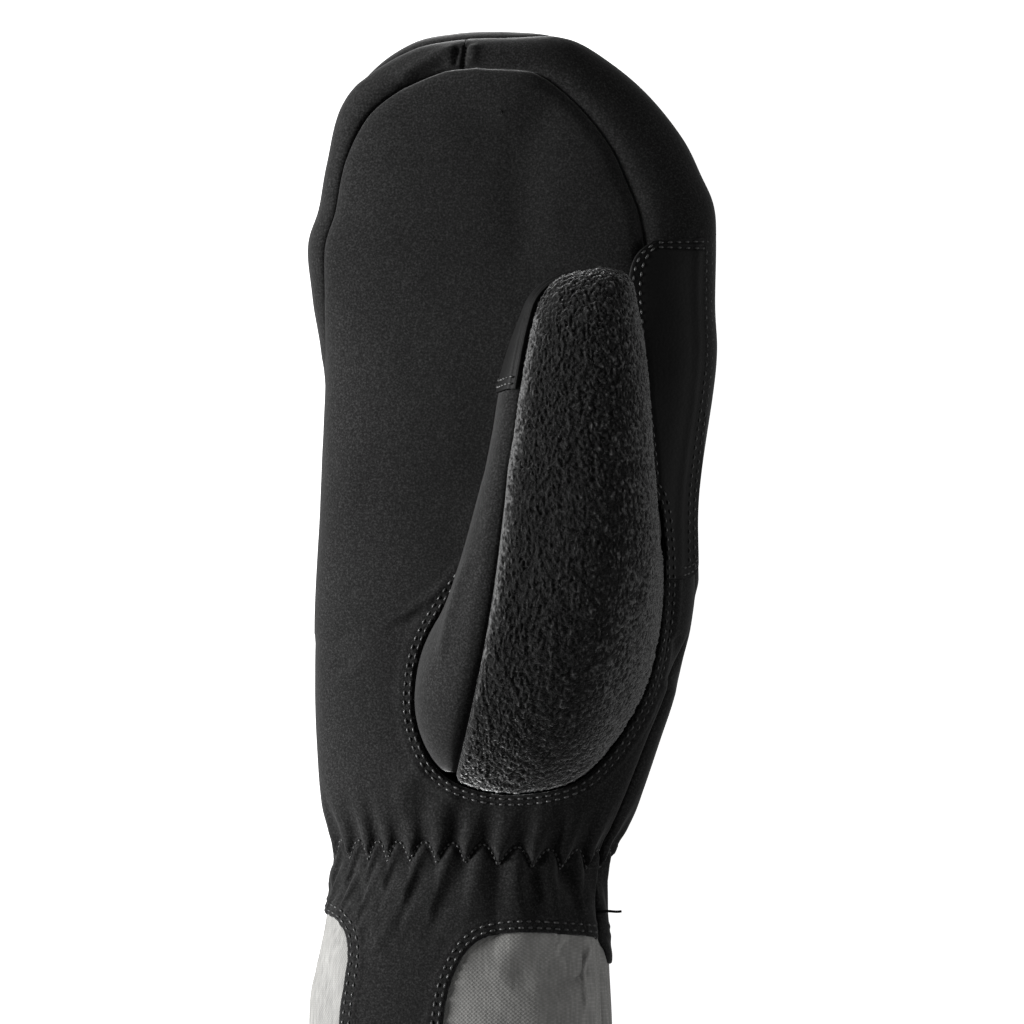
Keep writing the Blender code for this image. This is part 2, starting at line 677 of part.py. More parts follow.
def build_index_patch(parts):
    """The smooth reinforcement over the index side, from the palm to the outline."""
    points = {}
    for k, row in enumerate(INDEX_PATCH):
        for j in range(PATCH_COLUMNS + 1):
            share = j / PATCH_COLUMNS
            foot = 1 - smooth((row.y - INDEX_PATCH[-1].y) / PATCH_FOOT)
            y = row.y + PATCH_CORNER * share**4 * foot
            i = next(i for i, ring in enumerate(RINGS) if ring.right_y > y) - 1
            low, high = RINGS[i].right_y, RINGS[i + 1].right_y
            ring = along(RINGS, i + (y - low) / (high - low))
            profile = at_height(PROFILES, ring.spine_y)
            out = (row.left_x - ring.spine_x) / (ring.right_x - ring.spine_x)
            inner = math.degrees(math.acos(min(1.0, out) ** (profile.palm_shape / 2)))
            angle = inner + (PATCH_SIDE - inner) * share
            points[k, j] = section_point(ring, "right", angle)
    facets = quad_grid(len(INDEX_PATCH) - 1, PATCH_COLUMNS, lambda k, j: (k, j))
    normals = outward_normals(points, facets)
    return cloth("index_patch", points, normals, facets.values(),
                 lambda key: PATCH_CLEARANCE + PATCH_WALL, lambda key: PATCH_CLEARANCE,
                 REINFORCEMENT, parts)


def main():
    clear_scene()
    parts = bpy.data.collections.new("mitten")
    cutters = bpy.data.collections.new("cutters")
    for collection in (parts, cutters):
        bpy.context.scene.collection.children.link(collection)
    build_hand(parts, cutters)
    build_thumb(parts)


main()
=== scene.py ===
"""Looks of a padded softshell mitten for the right hand, lying on its back with the palm up.

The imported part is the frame. Each of its panels is built again here as fine cloth, from the same
sections and seams, and stands for its CAD solid. Then come the stitching, the fleece's fibres, the
floor and the light. Metres, +Z up, fingertips to +Y, thumb to +X.
"""

import json
import math
from collections import namedtuple

import bpy
import numpy as np
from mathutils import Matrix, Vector
from mathutils.bvhtree import BVHTree

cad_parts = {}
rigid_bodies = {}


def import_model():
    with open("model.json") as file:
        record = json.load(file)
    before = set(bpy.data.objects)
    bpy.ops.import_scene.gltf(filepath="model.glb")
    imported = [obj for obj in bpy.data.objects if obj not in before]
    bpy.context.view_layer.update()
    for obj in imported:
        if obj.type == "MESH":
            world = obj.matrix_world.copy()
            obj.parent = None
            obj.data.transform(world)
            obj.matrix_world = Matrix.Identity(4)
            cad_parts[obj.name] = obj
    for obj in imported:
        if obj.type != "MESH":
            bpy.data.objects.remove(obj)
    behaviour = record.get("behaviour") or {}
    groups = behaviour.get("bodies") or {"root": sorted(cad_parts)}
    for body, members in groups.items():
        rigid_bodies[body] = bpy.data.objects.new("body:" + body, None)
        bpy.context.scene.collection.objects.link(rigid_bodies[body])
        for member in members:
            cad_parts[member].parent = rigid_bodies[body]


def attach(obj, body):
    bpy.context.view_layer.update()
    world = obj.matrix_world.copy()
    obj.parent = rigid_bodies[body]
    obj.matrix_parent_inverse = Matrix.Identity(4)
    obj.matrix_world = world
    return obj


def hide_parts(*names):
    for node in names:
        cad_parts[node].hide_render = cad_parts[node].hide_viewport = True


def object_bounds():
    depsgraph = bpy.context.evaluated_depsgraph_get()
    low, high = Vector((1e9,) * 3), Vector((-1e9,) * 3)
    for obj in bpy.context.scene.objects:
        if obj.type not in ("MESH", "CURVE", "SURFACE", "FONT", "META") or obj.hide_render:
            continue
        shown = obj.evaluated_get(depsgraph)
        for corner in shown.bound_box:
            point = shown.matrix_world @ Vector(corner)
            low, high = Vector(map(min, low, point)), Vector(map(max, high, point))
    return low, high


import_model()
CAD_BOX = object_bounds()
BODY = "root"
MM = 0.001

# Sizes of the hand, from the frame
BOX_SHARE = 0.9928  # width of the CAD box as a share of the tables' width
LENGTH = CAD_BOX[1].y - CAD_BOX[0].y
WIDTH = (CAD_BOX[1].x - CAD_BOX[0].x) / BOX_SHARE

# Sizes that the part's source gives, in metres
PALM_HEIGHT = 0.046
THUMB_WIDTH = 0.044
THUMB_DEPTH = 0.033
THUMB_LIFT = 0.0025
HAND_WALL = 0.0032
CUFF_WALL = 0.0022
THUMB_WALL = 0.0026
HOLE_GAP = 0.0003

# Photo and camera
PHOTO_SCALE = 0.000268  # metres to a pixel
PHOTO_SIZE = 1024
PHOTO_ZERO = (513.0, 552.5)  # pixel over the frame's origin
CAMERA_HEIGHT = 4.0
MIDDLE_HEIGHT = 0.030  # the photo's scale holds at this height
SENSOR = 36
CAMERA_CLIP = (0.1, 10)

# Rings of the hand. Each ring runs from the spine, inside the hand, out to a point on the left
# outline and one on the right. x is a share of WIDTH from the middle, y a share of LENGTH from
# the hem. Over the fingertips the rings lean forward until both outline points meet.
Ring = namedtuple("Ring", "spine_x spine_y left_x left_y right_x right_y")
ELASTIC_SHARE = 0.2155
BELOW_ELASTIC = ELASTIC_SHARE - 0.035
ABOVE_ELASTIC = ELASTIC_SHARE + 0.021
OVER_PLEATS = ELASTIC_SHARE + 0.048
RINGS = [
    Ring(-0.124, 0.000, -0.504, 0.000, 0.250, 0.000),
    Ring(-0.122, 0.077, -0.494, 0.077, 0.242, 0.077),
    Ring(-0.116, 0.134, -0.466, 0.134, 0.235, 0.134),
    Ring(-0.110, BELOW_ELASTIC, -0.446, BELOW_ELASTIC, 0.226, BELOW_ELASTIC),
    Ring(-0.102, ELASTIC_SHARE, -0.436, ELASTIC_SHARE, 0.240, ELASTIC_SHARE),
    Ring(-0.090, ABOVE_ELASTIC, -0.446, ABOVE_ELASTIC, 0.271, ABOVE_ELASTIC),
    Ring(-0.078, OVER_PLEATS, -0.463, OVER_PLEATS, 0.304, OVER_PLEATS),
    Ring(-0.058, 0.321, -0.475, 0.321, 0.354, 0.321),
    Ring(-0.039, 0.378, -0.480, 0.378, 0.400, 0.378),
    Ring(-0.019, 0.455, -0.480, 0.455, 0.438, 0.455),
    Ring(-0.009, 0.550, -0.468, 0.550, 0.441, 0.550),
    Ring(0.002, 0.646, -0.457, 0.646, 0.472, 0.646),
    Ring(0.006, 0.694, -0.460, 0.694, 0.482, 0.694),
    Ring(0.006, 0.742, -0.479, 0.742, 0.478, 0.742),
    Ring(0.003, 0.785, -0.487, 0.794, 0.480, 0.797),
    Ring(0.000, 0.816, -0.461, 0.830, 0.475, 0.831),
    Ring(-0.002, 0.847, -0.442, 0.873, 0.448, 0.859),
    Ring(-0.005, 0.874, -0.410, 0.926, 0.402, 0.897),
    Ring(-0.012, 0.895, -0.342, 0.962, 0.308, 0.943),
    Ring(-0.021, 0.910, -0.240, 0.989, 0.194, 0.979),
    Ring(-0.027, 0.918, -0.136, 0.998, 0.100, 0.996),
    Ring(-0.030, 0.921, -0.030, 1.000, -0.030, 1.000),
]

# Height of the palm and of the back along the spine, as shares of PALM_HEIGHT, and the exponent
# of the superellipse that each side of a section follows
Profile = namedtuple("Profile", "y palm back palm_shape back_shape")
PROFILES = [
    Profile(0.00, 1.04, 0.00, 2.2, 2.6),
    Profile(0.12, 1.00, 0.00, 2.2, 2.6),
    Profile(0.21, 0.93, 0.05, 2.1, 2.3),
    Profile(0.28, 0.97, 0.01, 2.3, 2.8),
    Profile(0.40, 1.00, -0.01, 2.6, 3.2),
    Profile(0.55, 0.99, -0.01, 2.8, 3.3),
    Profile(0.72, 0.94, -0.01, 2.8, 3.2),
    Profile(0.82, 0.88, 0.05, 2.7, 2.8),
    Profile(0.890, 0.82, 0.12, 2.5, 2.5),
    Profile(0.921, 0.82, 0.16, 2.4, 2.4),
]

# Where the seams run round each side, in degrees: 90 is the middle of the palm, 0 the outline
# and -90 the middle of the back
Seams = namedtuple("Seams", "y palm_left palm_right back_left back_right")
SEAMS = [
    Seams(0.000, -8.0, 21.0, -30.0, -24.0),
    Seams(0.140, -8.0, 20.0, -30.0, -24.0),
    Seams(0.208, -8.0, 19.0, -30.0, -24.0),
    Seams(0.263, -12.0, 24.0, -34.0, -24.0),
    Seams(0.360, -15.0, 17.0, -36.0, -24.0),
    Seams(0.430, -16.0, 2.0, -38.0, -26.0),
    Seams(0.560, -14.0, 6.0, -40.0, -30.0),
    Seams(0.640, -7.0, 26.0, -38.0, -32.0),
    Seams(0.690, 1.0, 42.0, -36.0, -34.0),
    Seams(0.742, 15.0, 52.0, -34.0, -34.0),
    Seams(0.790, 21.0, 56.0, -32.0, -34.0),
    Seams(0.847, 22.0, 58.0, -28.0, -34.0),
    Seams(0.874, 33.0, 59.0, -14.0, -32.0),
    Seams(0.895, 43.0, 60.0, 6.0, -26.0),
    Seams(0.910, 52.0, 60.0, 18.0, -14.0),
    Seams(0.918, 57.0, 60.0, 22.0, 4.0),
    Seams(0.921, 60.0, 60.0, 22.0, 22.0),
]
GUSSET_END = {"left": 0.407, "right": 0.455}
JOIN_RING = 18  # the two gussets are sewn together beyond this ring, on this short line
JOIN_LINE = ((-0.1157, 0.9857), (-0.1253, 0.9637))

# Lower edge of the softshell, where the woven gores of the cuff begin
GoreEdge = namedtuple("GoreEdge", "x y")
GORE_EDGES = {
    "little": [
        GoreEdge(-0.436, -0.030),
        GoreEdge(-0.426, 0.038),
        GoreEdge(-0.415, 0.078),
        GoreEdge(-0.402, 0.113),
        GoreEdge(-0.405, 0.132),
        GoreEdge(-0.418, 0.143),
        GoreEdge(-0.442, 0.152),
        GoreEdge(-0.520, 0.164),
    ],
    "index": [
        GoreEdge(-0.184, -0.030),
        GoreEdge(-0.173, 0.038),
        GoreEdge(-0.159, 0.078),
        GoreEdge(-0.137, 0.104),
        GoreEdge(-0.106, 0.123),
        GoreEdge(-0.063, 0.134),
        GoreEdge(0.016, 0.138),
        GoreEdge(0.120, 0.136),
        GoreEdge(0.204, 0.132),
        GoreEdge(0.225, 0.123),
        GoreEdge(0.236, 0.106),
    ],
}
GORE_TOP = 0.178  # share of LENGTH that the gores' cloth reaches, hidden under the softshell

# The hole that the thumb grows from, clockwise from its wrist end, in twelve even steps
HolePoint = namedtuple("HolePoint", "x y")
THUMB_HOLE = [
    HolePoint(0.005, 0.269),
    HolePoint(-0.137, 0.280),
    HolePoint(-0.215, 0.313),
    HolePoint(-0.240, 0.367),
    HolePoint(-0.195, 0.431),
    HolePoint(-0.030, 0.512),
    HolePoint(0.196, 0.562),
    HolePoint(0.326, 0.561),
    HolePoint(0.360, 0.517),
    HolePoint(0.358, 0.434),
    HolePoint(0.304, 0.354),
    HolePoint(0.172, 0.286),
]

# Free part of the thumb. y is a share of LENGTH and middle one of WIDTH, half one of
# THUMB_WIDTH, and lift and depth are shares of THUMB_DEPTH.
ThumbRing = namedtuple("ThumbRing", "y middle half lift depth")
THUMB_RINGS = [
    ThumbRing(0.579, 0.137, 0.515, 0.00, 1.00),
    ThumbRing(0.617, 0.144, 0.485, 0.02, 1.00),
    ThumbRing(0.656, 0.149, 0.457, 0.06, 0.96),
    ThumbRing(0.694, 0.156, 0.412, 0.11, 0.89),
    ThumbRing(0.722, 0.163, 0.365, 0.17, 0.80),
    ThumbRing(0.742, 0.169, 0.322, 0.24, 0.68),
    ThumbRing(0.756, 0.179, 0.255, 0.32, 0.52),
    ThumbRing(0.7645, 0.193, 0.160, 0.42, 0.33),
    ThumbRing(0.769, 0.205, 0.0, 0.58, 0.0),
]
THUMB_SHAPE = 2.3
THUMB_RISE = 0.30
THUMB_REACH = 0.36
THUMB_LEAN = 0.55
THUMB_FLARE = {"left": 0.28, "right": 0.10}
FLEECE_SEAM_ROOT = 33.0
FLEECE_SEAM = 51.0
FLEECE_SEAM_UNDER = 247.0
SEAM_BOW = 0.7  # CAD columns by which the seam bows towards the fleece over the thumb's root
SEAM_BOW_REACH = 2.2
FLEECE_SEAM_TIP = 11.0  # the seam turns outwards by so much at the tip
FRONT_COLUMNS = (4, 16)  # CAD columns of the thumb between the two seams of the fleece
THUMB_COLUMNS = 24
THUMB_PATCH_RING = 2.0  # ring of THUMB_RINGS where the thumb's reinforcement ends

# Left edge of the index reinforcement, from its top to its foot
PatchRow = namedtuple("PatchRow", "y left_x")
INDEX_PATCH = [
    PatchRow(0.8010, 0.338),
    PatchRow(0.7960, 0.317),
    PatchRow(0.7870, 0.296),
    PatchRow(0.7720, 0.281),
    PatchRow(0.7480, 0.276),
    PatchRow(0.7030, 0.285),
    PatchRow(0.6460, 0.298),
    PatchRow(0.6000, 0.312),
    PatchRow(0.5600, 0.322),
    PatchRow(0.5200, 0.330),
    PatchRow(0.4760, 0.338),
]
PATCH_SIDE = 2.0
PATCH_CORNER = 0.016
PATCH_FOOT = 0.084
PATCH_CLEARANCE = 0.0002  # closer and thinner than in the part's source
PATCH_WALL = 0.0006
GORE_RECESS = 0.0009
GORE_WALL = 0.0009
GORE_TUCK = 0.0035  # how far the gores reach under the softshell

# Fineness of the cloth
FINE_STEP = 0.00065  # between rings from the hem to over the thumb's crotch
COARSE_STEP = 0.0011
TIP_STEP = 0.0009
FINE_RINGS = 10
TIP_RING = 14
CAD_SPANS = (0, 12, 15, 24)  # CAD columns at the middle, the two seams and the middle behind
FINE_SPANS = (0, 100, 130, 185)  # the fine columns there
CROWDING = (0.5, 0.6, 0.4)  # how much closer the columns lie beside a seam, in each span
ARC_SAMPLES = 200
CURVE_STEPS = 12  # of a flat outline between two rows of its table
INNER_STEP = 5  # the inside has one facet for so many rows and columns
THUMB_FINE = 480
THUMB_ROOT_FINE = 170
THUMB_STEP = 0.00038
TANGENT_STEP = 0.05
PATCH_ROW_STEPS = 14
PATCH_FINE = 46

# Slow unevenness of the cloth: height, size of one wave or its size along each axis, and seed
Wave = namedtuple("Wave", "height size seed")
BROAD_WAVE = Wave(0.00030, 0.030, 1)
HAND_WAVES = [BROAD_WAVE, Wave(0.00012, 0.009, 2)]
GORE_WAVE = Wave(0.0004, (0.007, 0.020, 0.009), 5)
THUMB_WAVE = Wave(0.00025, 0.020, 21)
PATCH_WAVES = [BROAD_WAVE, Wave(0.00035, (0.010, 0.040, 0.010), 31)]
HASH_PRIMES = (374761393, 668265263, 2147483647, 974634777)
HASH_STIR = 1274126177

# Seams and folded edges
SEAM_VALLEY = (0.0014, 0.0005)  # depth and reach of the narrow line
SEAM_SHOULDER = (0.0008, 0.0026)  # depth and reach of the cloth rolling into it
BACK_SEAM = 0.5  # the seam of the back is so much shallower
GUSSET_CROWN = 0.0009  # a gusset swells so much between its seams
GUSSET_FADE = 0.02  # share of LENGTH over which it begins
WELT_HEIGHT = 0.00035  # an edge that is folded under and sewn down
WELT_WIDTH = 0.0037
EDGE_ROLL = 0.0007
STITCH_ROWS = (0.0013, 0.0030)  # distance of the two rows from the gores' folded edges
HOLE_ROWS = (0.0010, 0.0025)  # and from the thumb hole's
ROW_GROOVE = (0.00032, 0.0006)  # depth and reach
PATCH_ROWS = (0.0011, 0.0030)  # the same on the reinforcement, from its cut edge
PATCH_SIDE_ROWS = (0.0012, 0.0026)  # and from its outline on the index side, seen from above
PATCH_RIDGE = 0.0005  # a soft ridge runs along it, so far in from that outline
PATCH_RIDGE_IN = 0.0043
PATCH_RIDGE_REACH = 0.0013
HOLE_FACING = -0.2  # the thumb hole is cut only where the surface looks up more than this

# Fleece. The waves of its pile are shares of its height, and those of its curl are metres.
PILE_WAVES = [Wave(0.56, (0.00046, 0.00056, 0.00050), 14), Wave(0.16, (0.0010, 0.0014, 0.0011), 15)]
PILE_PATCHY = Wave(0.05, 0.006, 16)
PILE_CURL = [Wave(0.0003, 0.0010, seed) for seed in (11, 12, 13)]
PILE_BASE = -0.0006  # height of its middle over the smooth form
PILE_HEIGHT = 0.0007
PILE_SINK = 0.0020  # how deep it dips into its seams
PILE_ENDS = 0.0013  # it stands prouder at the thumb's tip, and a little at its foot
TIP_STARTS = 4.5  # in rows of THUMB_RINGS
FOOT_SHARE = 0.3  # of PILE_ENDS
PILE_SWELL = (0.0005, 0.0040)  # how much it swells beside the front's seam, and how far in
PAINTED_EDGE_LIGHT = 0.80  # painted highlight: the pile is painted paler there, where the key light catches the fleece's raised edge
SWELL_PLACES = (-1.1, 0.3, 3.2, 5.5)  # where the swell and the painted highlight begin, are full, fade and have gone
PAINTED_RIGHT_LIGHT = 0.40  # painted light: the pile is painted paler the more its surface faces right, as a painted sheen on that side
PAINTED_RIGHT_LIGHT_FROM = 0.22  # share of that painted light already where the surface looks straight up
PILE_CONTRAST = 0.6  # share of its height that shows in its colour
# The mesh attribute holds the pile's height with the painted highlight and painted sheen added in.
PILE_AND_LIGHT_ATTRIBUTE = "pile"
PILE_EDGE = 0.0018  # the pile rounds off into its seams over this distance
FRONT_ROLL = 0.0015  # the front's cloth rolls so deep into the fleece's seam
ROOT_DRAW = 0.0005  # the thumb is drawn in where it leaves its hole
ROOT_REACH = 0.0010
TIP_CALM = 0.006  # circumference under which the relief fades out
THUMB_PATCH_BULGE = 0.10
THUMB_PATCH_GROOVE = 1.5  # as deep as ROW_GROOVE so many times, beside its side seams

# Pleats of the elastic: x of the palm's high points in its zigzag, shares of WIDTH
PLEATS_X = (-0.417, -0.374, -0.327, -0.280, -0.217, -0.149, -0.077, 0.010, 0.089, 0.157, 0.210)
PLEAT_PITCH = 0.0066
ZIGZAG_HALF = 0.0026
ZIGZAG_POINT = 1.8  # exponent, 1 being straight runs
PLEAT_HEIGHT = 0.0017
PLEAT_UP = 0.021  # reach over the elastic
PLEAT_DOWN = 0.032  # and under it
PLEAT_SHARP = 1.5  # exponent of the ridges over it, and of how they fade
UPPER_LEVEL = 0.35  # share of their height that lies under the smooth form
LOWER_RIDGE = (0.34, -0.08)  # height and level of those under it, as shares of PLEAT_HEIGHT
PLEAT_WAVE = Wave(0.35, 0.008, 3)  # how much they differ
ELASTIC_DIP = (0.0007, 0.0012)  # depth and reach
ELASTIC_PINS = 0.75  # share of the ridges' height that the elastic takes away
PleatLean = namedtuple("PleatLean", "x lean line_y")
PLEAT_LEANS = [  # sideways run of the ridges under the zigzag, and height of its middle line
    PleatLean(-0.436, 0.70, 0.2160),
    PleatLean(-0.327, 0.60, 0.2155),
    PleatLean(-0.217, 0.42, 0.2150),
    PleatLean(-0.149, 0.22, 0.2142),
    PleatLean(-0.060, 0.02, 0.2125),
    PleatLean(0.089, -0.18, 0.2075),
    PleatLean(0.240, -0.30, 0.2060),
]

# Single folds and dents of the palm side: three flat points that a curve runs through, in shares
# as in RINGS, and the height and reach of its relief in metres
Fold = namedtuple("Fold", "x1 y1 x2 y2 x3 y3 height reach")
FOLD_STEPS = 30
FOLD_NEAR = 3  # a fold ends at so many times its reach
FOLD_FADE = (4, 0.15)  # it fades in over a quarter of its length, from this much
FOLD_FACING = 0.3  # and out where the surface turns from looking up to looking down
FOLDS = [
    Fold(-0.159, 0.474, -0.236, 0.448, -0.321, 0.432, 0.0006, 0.0010),  # beside the thumb
    Fold(-0.165, 0.463, -0.240, 0.439, -0.315, 0.425, -0.0005, 0.0022),
    Fold(-0.130, 0.982, -0.212, 0.968, -0.285, 0.950, 0.0009, 0.0014),  # in the little side's strip
    Fold(-0.140, 0.975, -0.215, 0.960, -0.280, 0.942, -0.0005, 0.0016),
    Fold(-0.113, 0.986, -0.118, 0.975, -0.125, 0.964, -0.0013, 0.0006),  # where the strips are joined
    Fold(-0.134, 0.984, -0.137, 0.975, -0.145, 0.966, -0.0009, 0.0007),
    Fold(-0.100, 0.985, -0.098, 0.976, -0.104, 0.966, 0.0007, 0.0016),
    Fold(-0.405, 0.560, -0.248, 0.545, -0.080, 0.522, -0.0007, 0.0080),  # across the palm
    Fold(-0.450, 0.425, -0.435, 0.405, -0.400, 0.385, -0.0010, 0.0055),
    Fold(0.060, 0.930, 0.035, 0.850, 0.020, 0.760, -0.0005, 0.0060),
    Fold(0.392, 0.425, 0.398, 0.397, 0.380, 0.368, -0.0013, 0.0022),  # between the thumb and the side
    Fold(0.374, 0.472, 0.377, 0.416, 0.335, 0.344, -0.0006, 0.0012),
    Fold(-0.210, 0.300, -0.262, 0.276, -0.285, 0.240, 0.0006, 0.0030),  # from the hole to the wrist
    Fold(-0.120, 0.268, -0.175, 0.255, -0.190, 0.230, 0.0006, 0.0028),
    Fold(-0.236, 0.196, -0.292, 0.153, -0.350, 0.115, 0.0007, 0.0022),  # from the wrist to the hem
    Fold(-0.140, 0.198, -0.166, 0.167, -0.205, 0.129, -0.0003, 0.0024),
    Fold(-0.376, 0.200, -0.372, 0.183, -0.380, 0.165, -0.0008, 0.0024),
    Fold(0.100, 0.203, 0.140, 0.182, 0.166, 0.160, -0.0016, 0.0024),
    Fold(0.036, 0.196, 0.050, 0.182, 0.062, 0.164, -0.0008, 0.0026),
]
THUMB_FOLDS = [
    Fold(-0.099, 0.502, -0.152, 0.442, -0.174, 0.395, 0.0009, 0.0013),
]
FLEECE_FOLDS = [
    Fold(0.335, 0.488, 0.313, 0.455, 0.301, 0.410, 0.0006, 0.0013),
]
GORE_FOLDS = [
    Fold(0.195, 0.127, 0.176, 0.096, 0.181, 0.060, 0.0006, 0.0006),
    Fold(0.110, 0.128, 0.150, 0.115, 0.172, 0.090, -0.0014, 0.0032),
    Fold(-0.020, 0.090, 0.080, 0.105, 0.130, 0.070, -0.0010, 0.0045),
    Fold(-0.470, 0.110, -0.450, 0.080, -0.455, 0.040, -0.0008, 0.0030),
]

# Stitches. Each has its rings along x, of a length of 1 and a girth of 1 in the middle.
StitchRing = namedtuple("StitchRing", "x girth")
STITCH_RINGS = [
    StitchRing(-0.50, 0.25),
    StitchRing(-0.36, 0.80),
    StitchRing(-0.12, 1.00),
    StitchRing(0.12, 1.00),
    StitchRing(0.36, 0.80),
    StitchRing(0.50, 0.25),
]
STITCH_SIDES = 6
STITCH_ARCH = (0.35, 3.0)  # height of its middle, and how steeply its ends dive into the cloth
STITCH_FILL = 0.74  # a stitch fills at most this share of its pitch
STITCH_SIZE = (0.0017, 0.00060, 0.00052)  # length, width and height
STITCH_PITCH = 0.0025
ELASTIC_PITCH = 0.0015
ELASTIC_STEPS = 40  # of its path between two high points
THUMB_PATCH_PITCH = 0.0018
THUMB_PATCH_ROWS = (0.12, 0.28)  # in rows of THUMB_RINGS from the patch's lower edge
THUMB_PATCH_STEPS = 120
THUMB_PATCH_ENDS = 0.15  # CAD columns that the rows stop short of the side seams
ROW_CLEAR = 0.9  # a row ends where another edge is nearer than this share of its inset
HEM_ROW = 0.0085  # from the hem
CAST_FROM = 0.3  # height from which rows are laid onto the cloth
CAST_FACING = 0.12  # least slope of the cloth that takes a stitch

# Loose end of a thread at the side seam
THREAD_FROM = (0.202, 0.155)  # shares as in RINGS
THREAD_TO = (0.260, 0.158)
THREAD_STEPS = 14
THREAD_WIDTH = 0.0007
THREAD_RISE = 0.0002  # over the cloth where it begins
THREAD_DROP = 0.0012
THREAD_WAVE = (0.0003, 5)  # height and turns, in radians over its length

# Looks
SHEEN_ROUGHNESS = 0.35
WEAVE_PITCH = 0.0011  # two threads of the woven cloth
WEAVE_RELIEF = 0.5  # height of its threads, beside its slubs
PEBBLE_SCALE = 1300
NUB_STRETCH = (1.0, 0.8, 0.9)
SLUB_STRETCH = (1.0, 0.15, 1.0)

# Fibres of the fleece
FIBRES = 26000
FIBRE_LENGTH = (0.0003, 0.0008)
FIBRE_WIDTH = 0.00007
FIBRE_SEED = 7
FIBRE_STATIONS = (0.0, 0.35, 0.7, 1.0)  # shares of its length
FIBRE_ARCH = (0.55, 2.2)  # how high it rises, as a share of its length, and its bend in radians
FIBRE_LEAN = 0.8
FIBRE_CURL = 0.35
FIBRE_TAPER = 0.8
FIBRE_ROOT = 0.0001  # how deep it is rooted
OUTER_FACE = 1.2e-6  # the fleece's outer faces are smaller than this, in square metres

# Floor and light
FLOOR_HALF = 2.0
FLOOR_DROP = 0.0002
FLOOR_GREY = 0.9
FLOOR_ROUGHNESS = 0.9
WORLD_LEVEL = 0.15
Sun = namedtuple("Sun", "name azimuth elevation strength spread")
SUNS = [
    Sun("key", 176, 15, 2.60, 22),
    Sun("rim", -6, 3, 0.46, 30),
]


def spline(a, b, c, d, t):
    """Catmull-Rom between b and c."""
    return b + 0.5 * t * (c - a + t * (2 * a - 5 * b + 4 * c - d + t * (3 * (b - c) + d - a)))


def along(table, t):
    """A table read at the fractional rows t, smoothly, one row of values for each."""
    rows, t = np.array(table), np.asarray(t, float)
    i = np.clip(t.astype(int), 0, len(rows) - 2)
    near = [rows[np.clip(i + k, 0, len(rows) - 1)] for k in (-1, 0, 1, 2)]
    return spline(*near, (t - i)[:, None])


def at_height(table, y):
    """A table read where its first column, a rising y, reaches y."""
    heights = [row.y for row in table]
    return along(table, np.interp(y, heights, np.arange(len(heights))))


def round_table(rows, t):
    """The rows of a table that closes on itself, read at fractional rows."""
    t = t % len(rows)
    i = t.astype(int)
    near = [rows[(i + k) % len(rows)] for k in (-1, 0, 1, 2)]
    return spline(*near, (t - i)[:, None])


def smooth(t):
    t = np.clip(t, 0.0, 1.0)
    return t * t * (3 - 2 * t)


def bell(distance, reach):
    return np.exp(-((distance / reach) ** 2))


def lattice(i, j, k, seed):
    """A fixed number between 0 and 1 for each corner of a lattice, by integer hashing."""
    mixed = sum(n * prime for n, prime in zip((i, j, k, seed), HASH_PRIMES))
    mixed = (mixed ^ (mixed >> 13)) * HASH_STIR & 0xFFFFFFFF
    return ((mixed ^ (mixed >> 16)) & 0xFFFF) / 0xFFFF


def noise(points, size, seed=0):
    """Smooth noise from -1 to 1. size is one length, or one for each axis."""
    scaled = points / np.asarray(size)
    low = np.floor(scaled).astype(np.int64)
    t = scaled - low
    t = t * t * (3 - 2 * t)
    total = 0.0
    for corner in np.ndindex(2, 2, 2):
        weight = np.prod(np.where(np.array(corner) == 1, t, 1 - t), axis=-1)
        total = total + weight * lattice(*np.moveaxis(low + corner, -1, 0), seed)
    return 2 * total - 1


def waves(points, *rows):
    """Unevenness of the cloth at these points."""
    return sum(row.height * noise(points, row.size, row.seed) for row in rows)


# Form of the hand


def section(ring, profile, side, degrees):
    """Points of the hand's outer surface round one side, at these angles."""
    spine_x, spine_y, left_x, left_y, right_x, right_y = np.asarray(ring).T
    edge_x, edge_y = (left_x, left_y) if side == "left" else (right_x, right_y)
    _, palm, back, palm_shape, back_shape = np.asarray(profile).T
    top, bottom = palm * PALM_HEIGHT, back * PALM_HEIGHT
    middle = (top + bottom) / 2
    turn = np.radians(np.abs(degrees))
    shape = np.where(degrees > 0, palm_shape, back_shape)
    out = np.abs(np.cos(turn)) ** (2 / shape)
    up = np.abs(np.sin(turn)) ** (2 / shape)
    x = (spine_x + (edge_x - spine_x) * out) * WIDTH
    y = (spine_y + (edge_y - spine_y) * out - 0.5) * LENGTH
    z = middle + (np.where(degrees > 0, top, bottom) - middle) * up
    return np.stack([x, y, np.maximum(z, 0.0)], axis=1)


def half_section(ring, profile, seams, side, columns):
    """Points at fractional CAD columns, evenly spaced along the curve between two seams."""
    _, palm_left, palm_right, back_left, back_right = seams
    stops = (90, palm_left, back_left, -90) if side == "left" else (90, palm_right, back_right, -90)
    points = np.empty((len(columns), 3))
    for span in range(3):
        first, last = CAD_SPANS[span], CAD_SPANS[span + 1]
        dense = section(ring, profile, side, np.linspace(stops[span], stops[span + 1], ARC_SAMPLES))
        lengths = np.append(0.0, np.cumsum(np.linalg.norm(np.diff(dense, axis=0), axis=1)))
        inside = (columns >= first) & (columns <= last)
        want = (columns[inside] - first) / (last - first) * lengths[-1]
        for axis in range(3):
            points[inside, axis] = np.interp(want, lengths, dense[:, axis])
    return points


def fine_places():
    """Fractional rows of RINGS where the cloth's rings lie."""
    table = np.array(RINGS) * (WIDTH, LENGTH, WIDTH, LENGTH, WIDTH, LENGTH)
    places = [0.0]
    for i, (a, b) in enumerate(zip(table, table[1:])):
        travel = max(np.hypot(*(b - a)[k : k + 2]) for k in (0, 2, 4))
        step = FINE_STEP if i < FINE_RINGS else COARSE_STEP if i < TIP_RING else TIP_STEP
        count = math.ceil(travel / step)
        places += [i + (n + 1) / count for n in range(count)]
    return np.array(places)


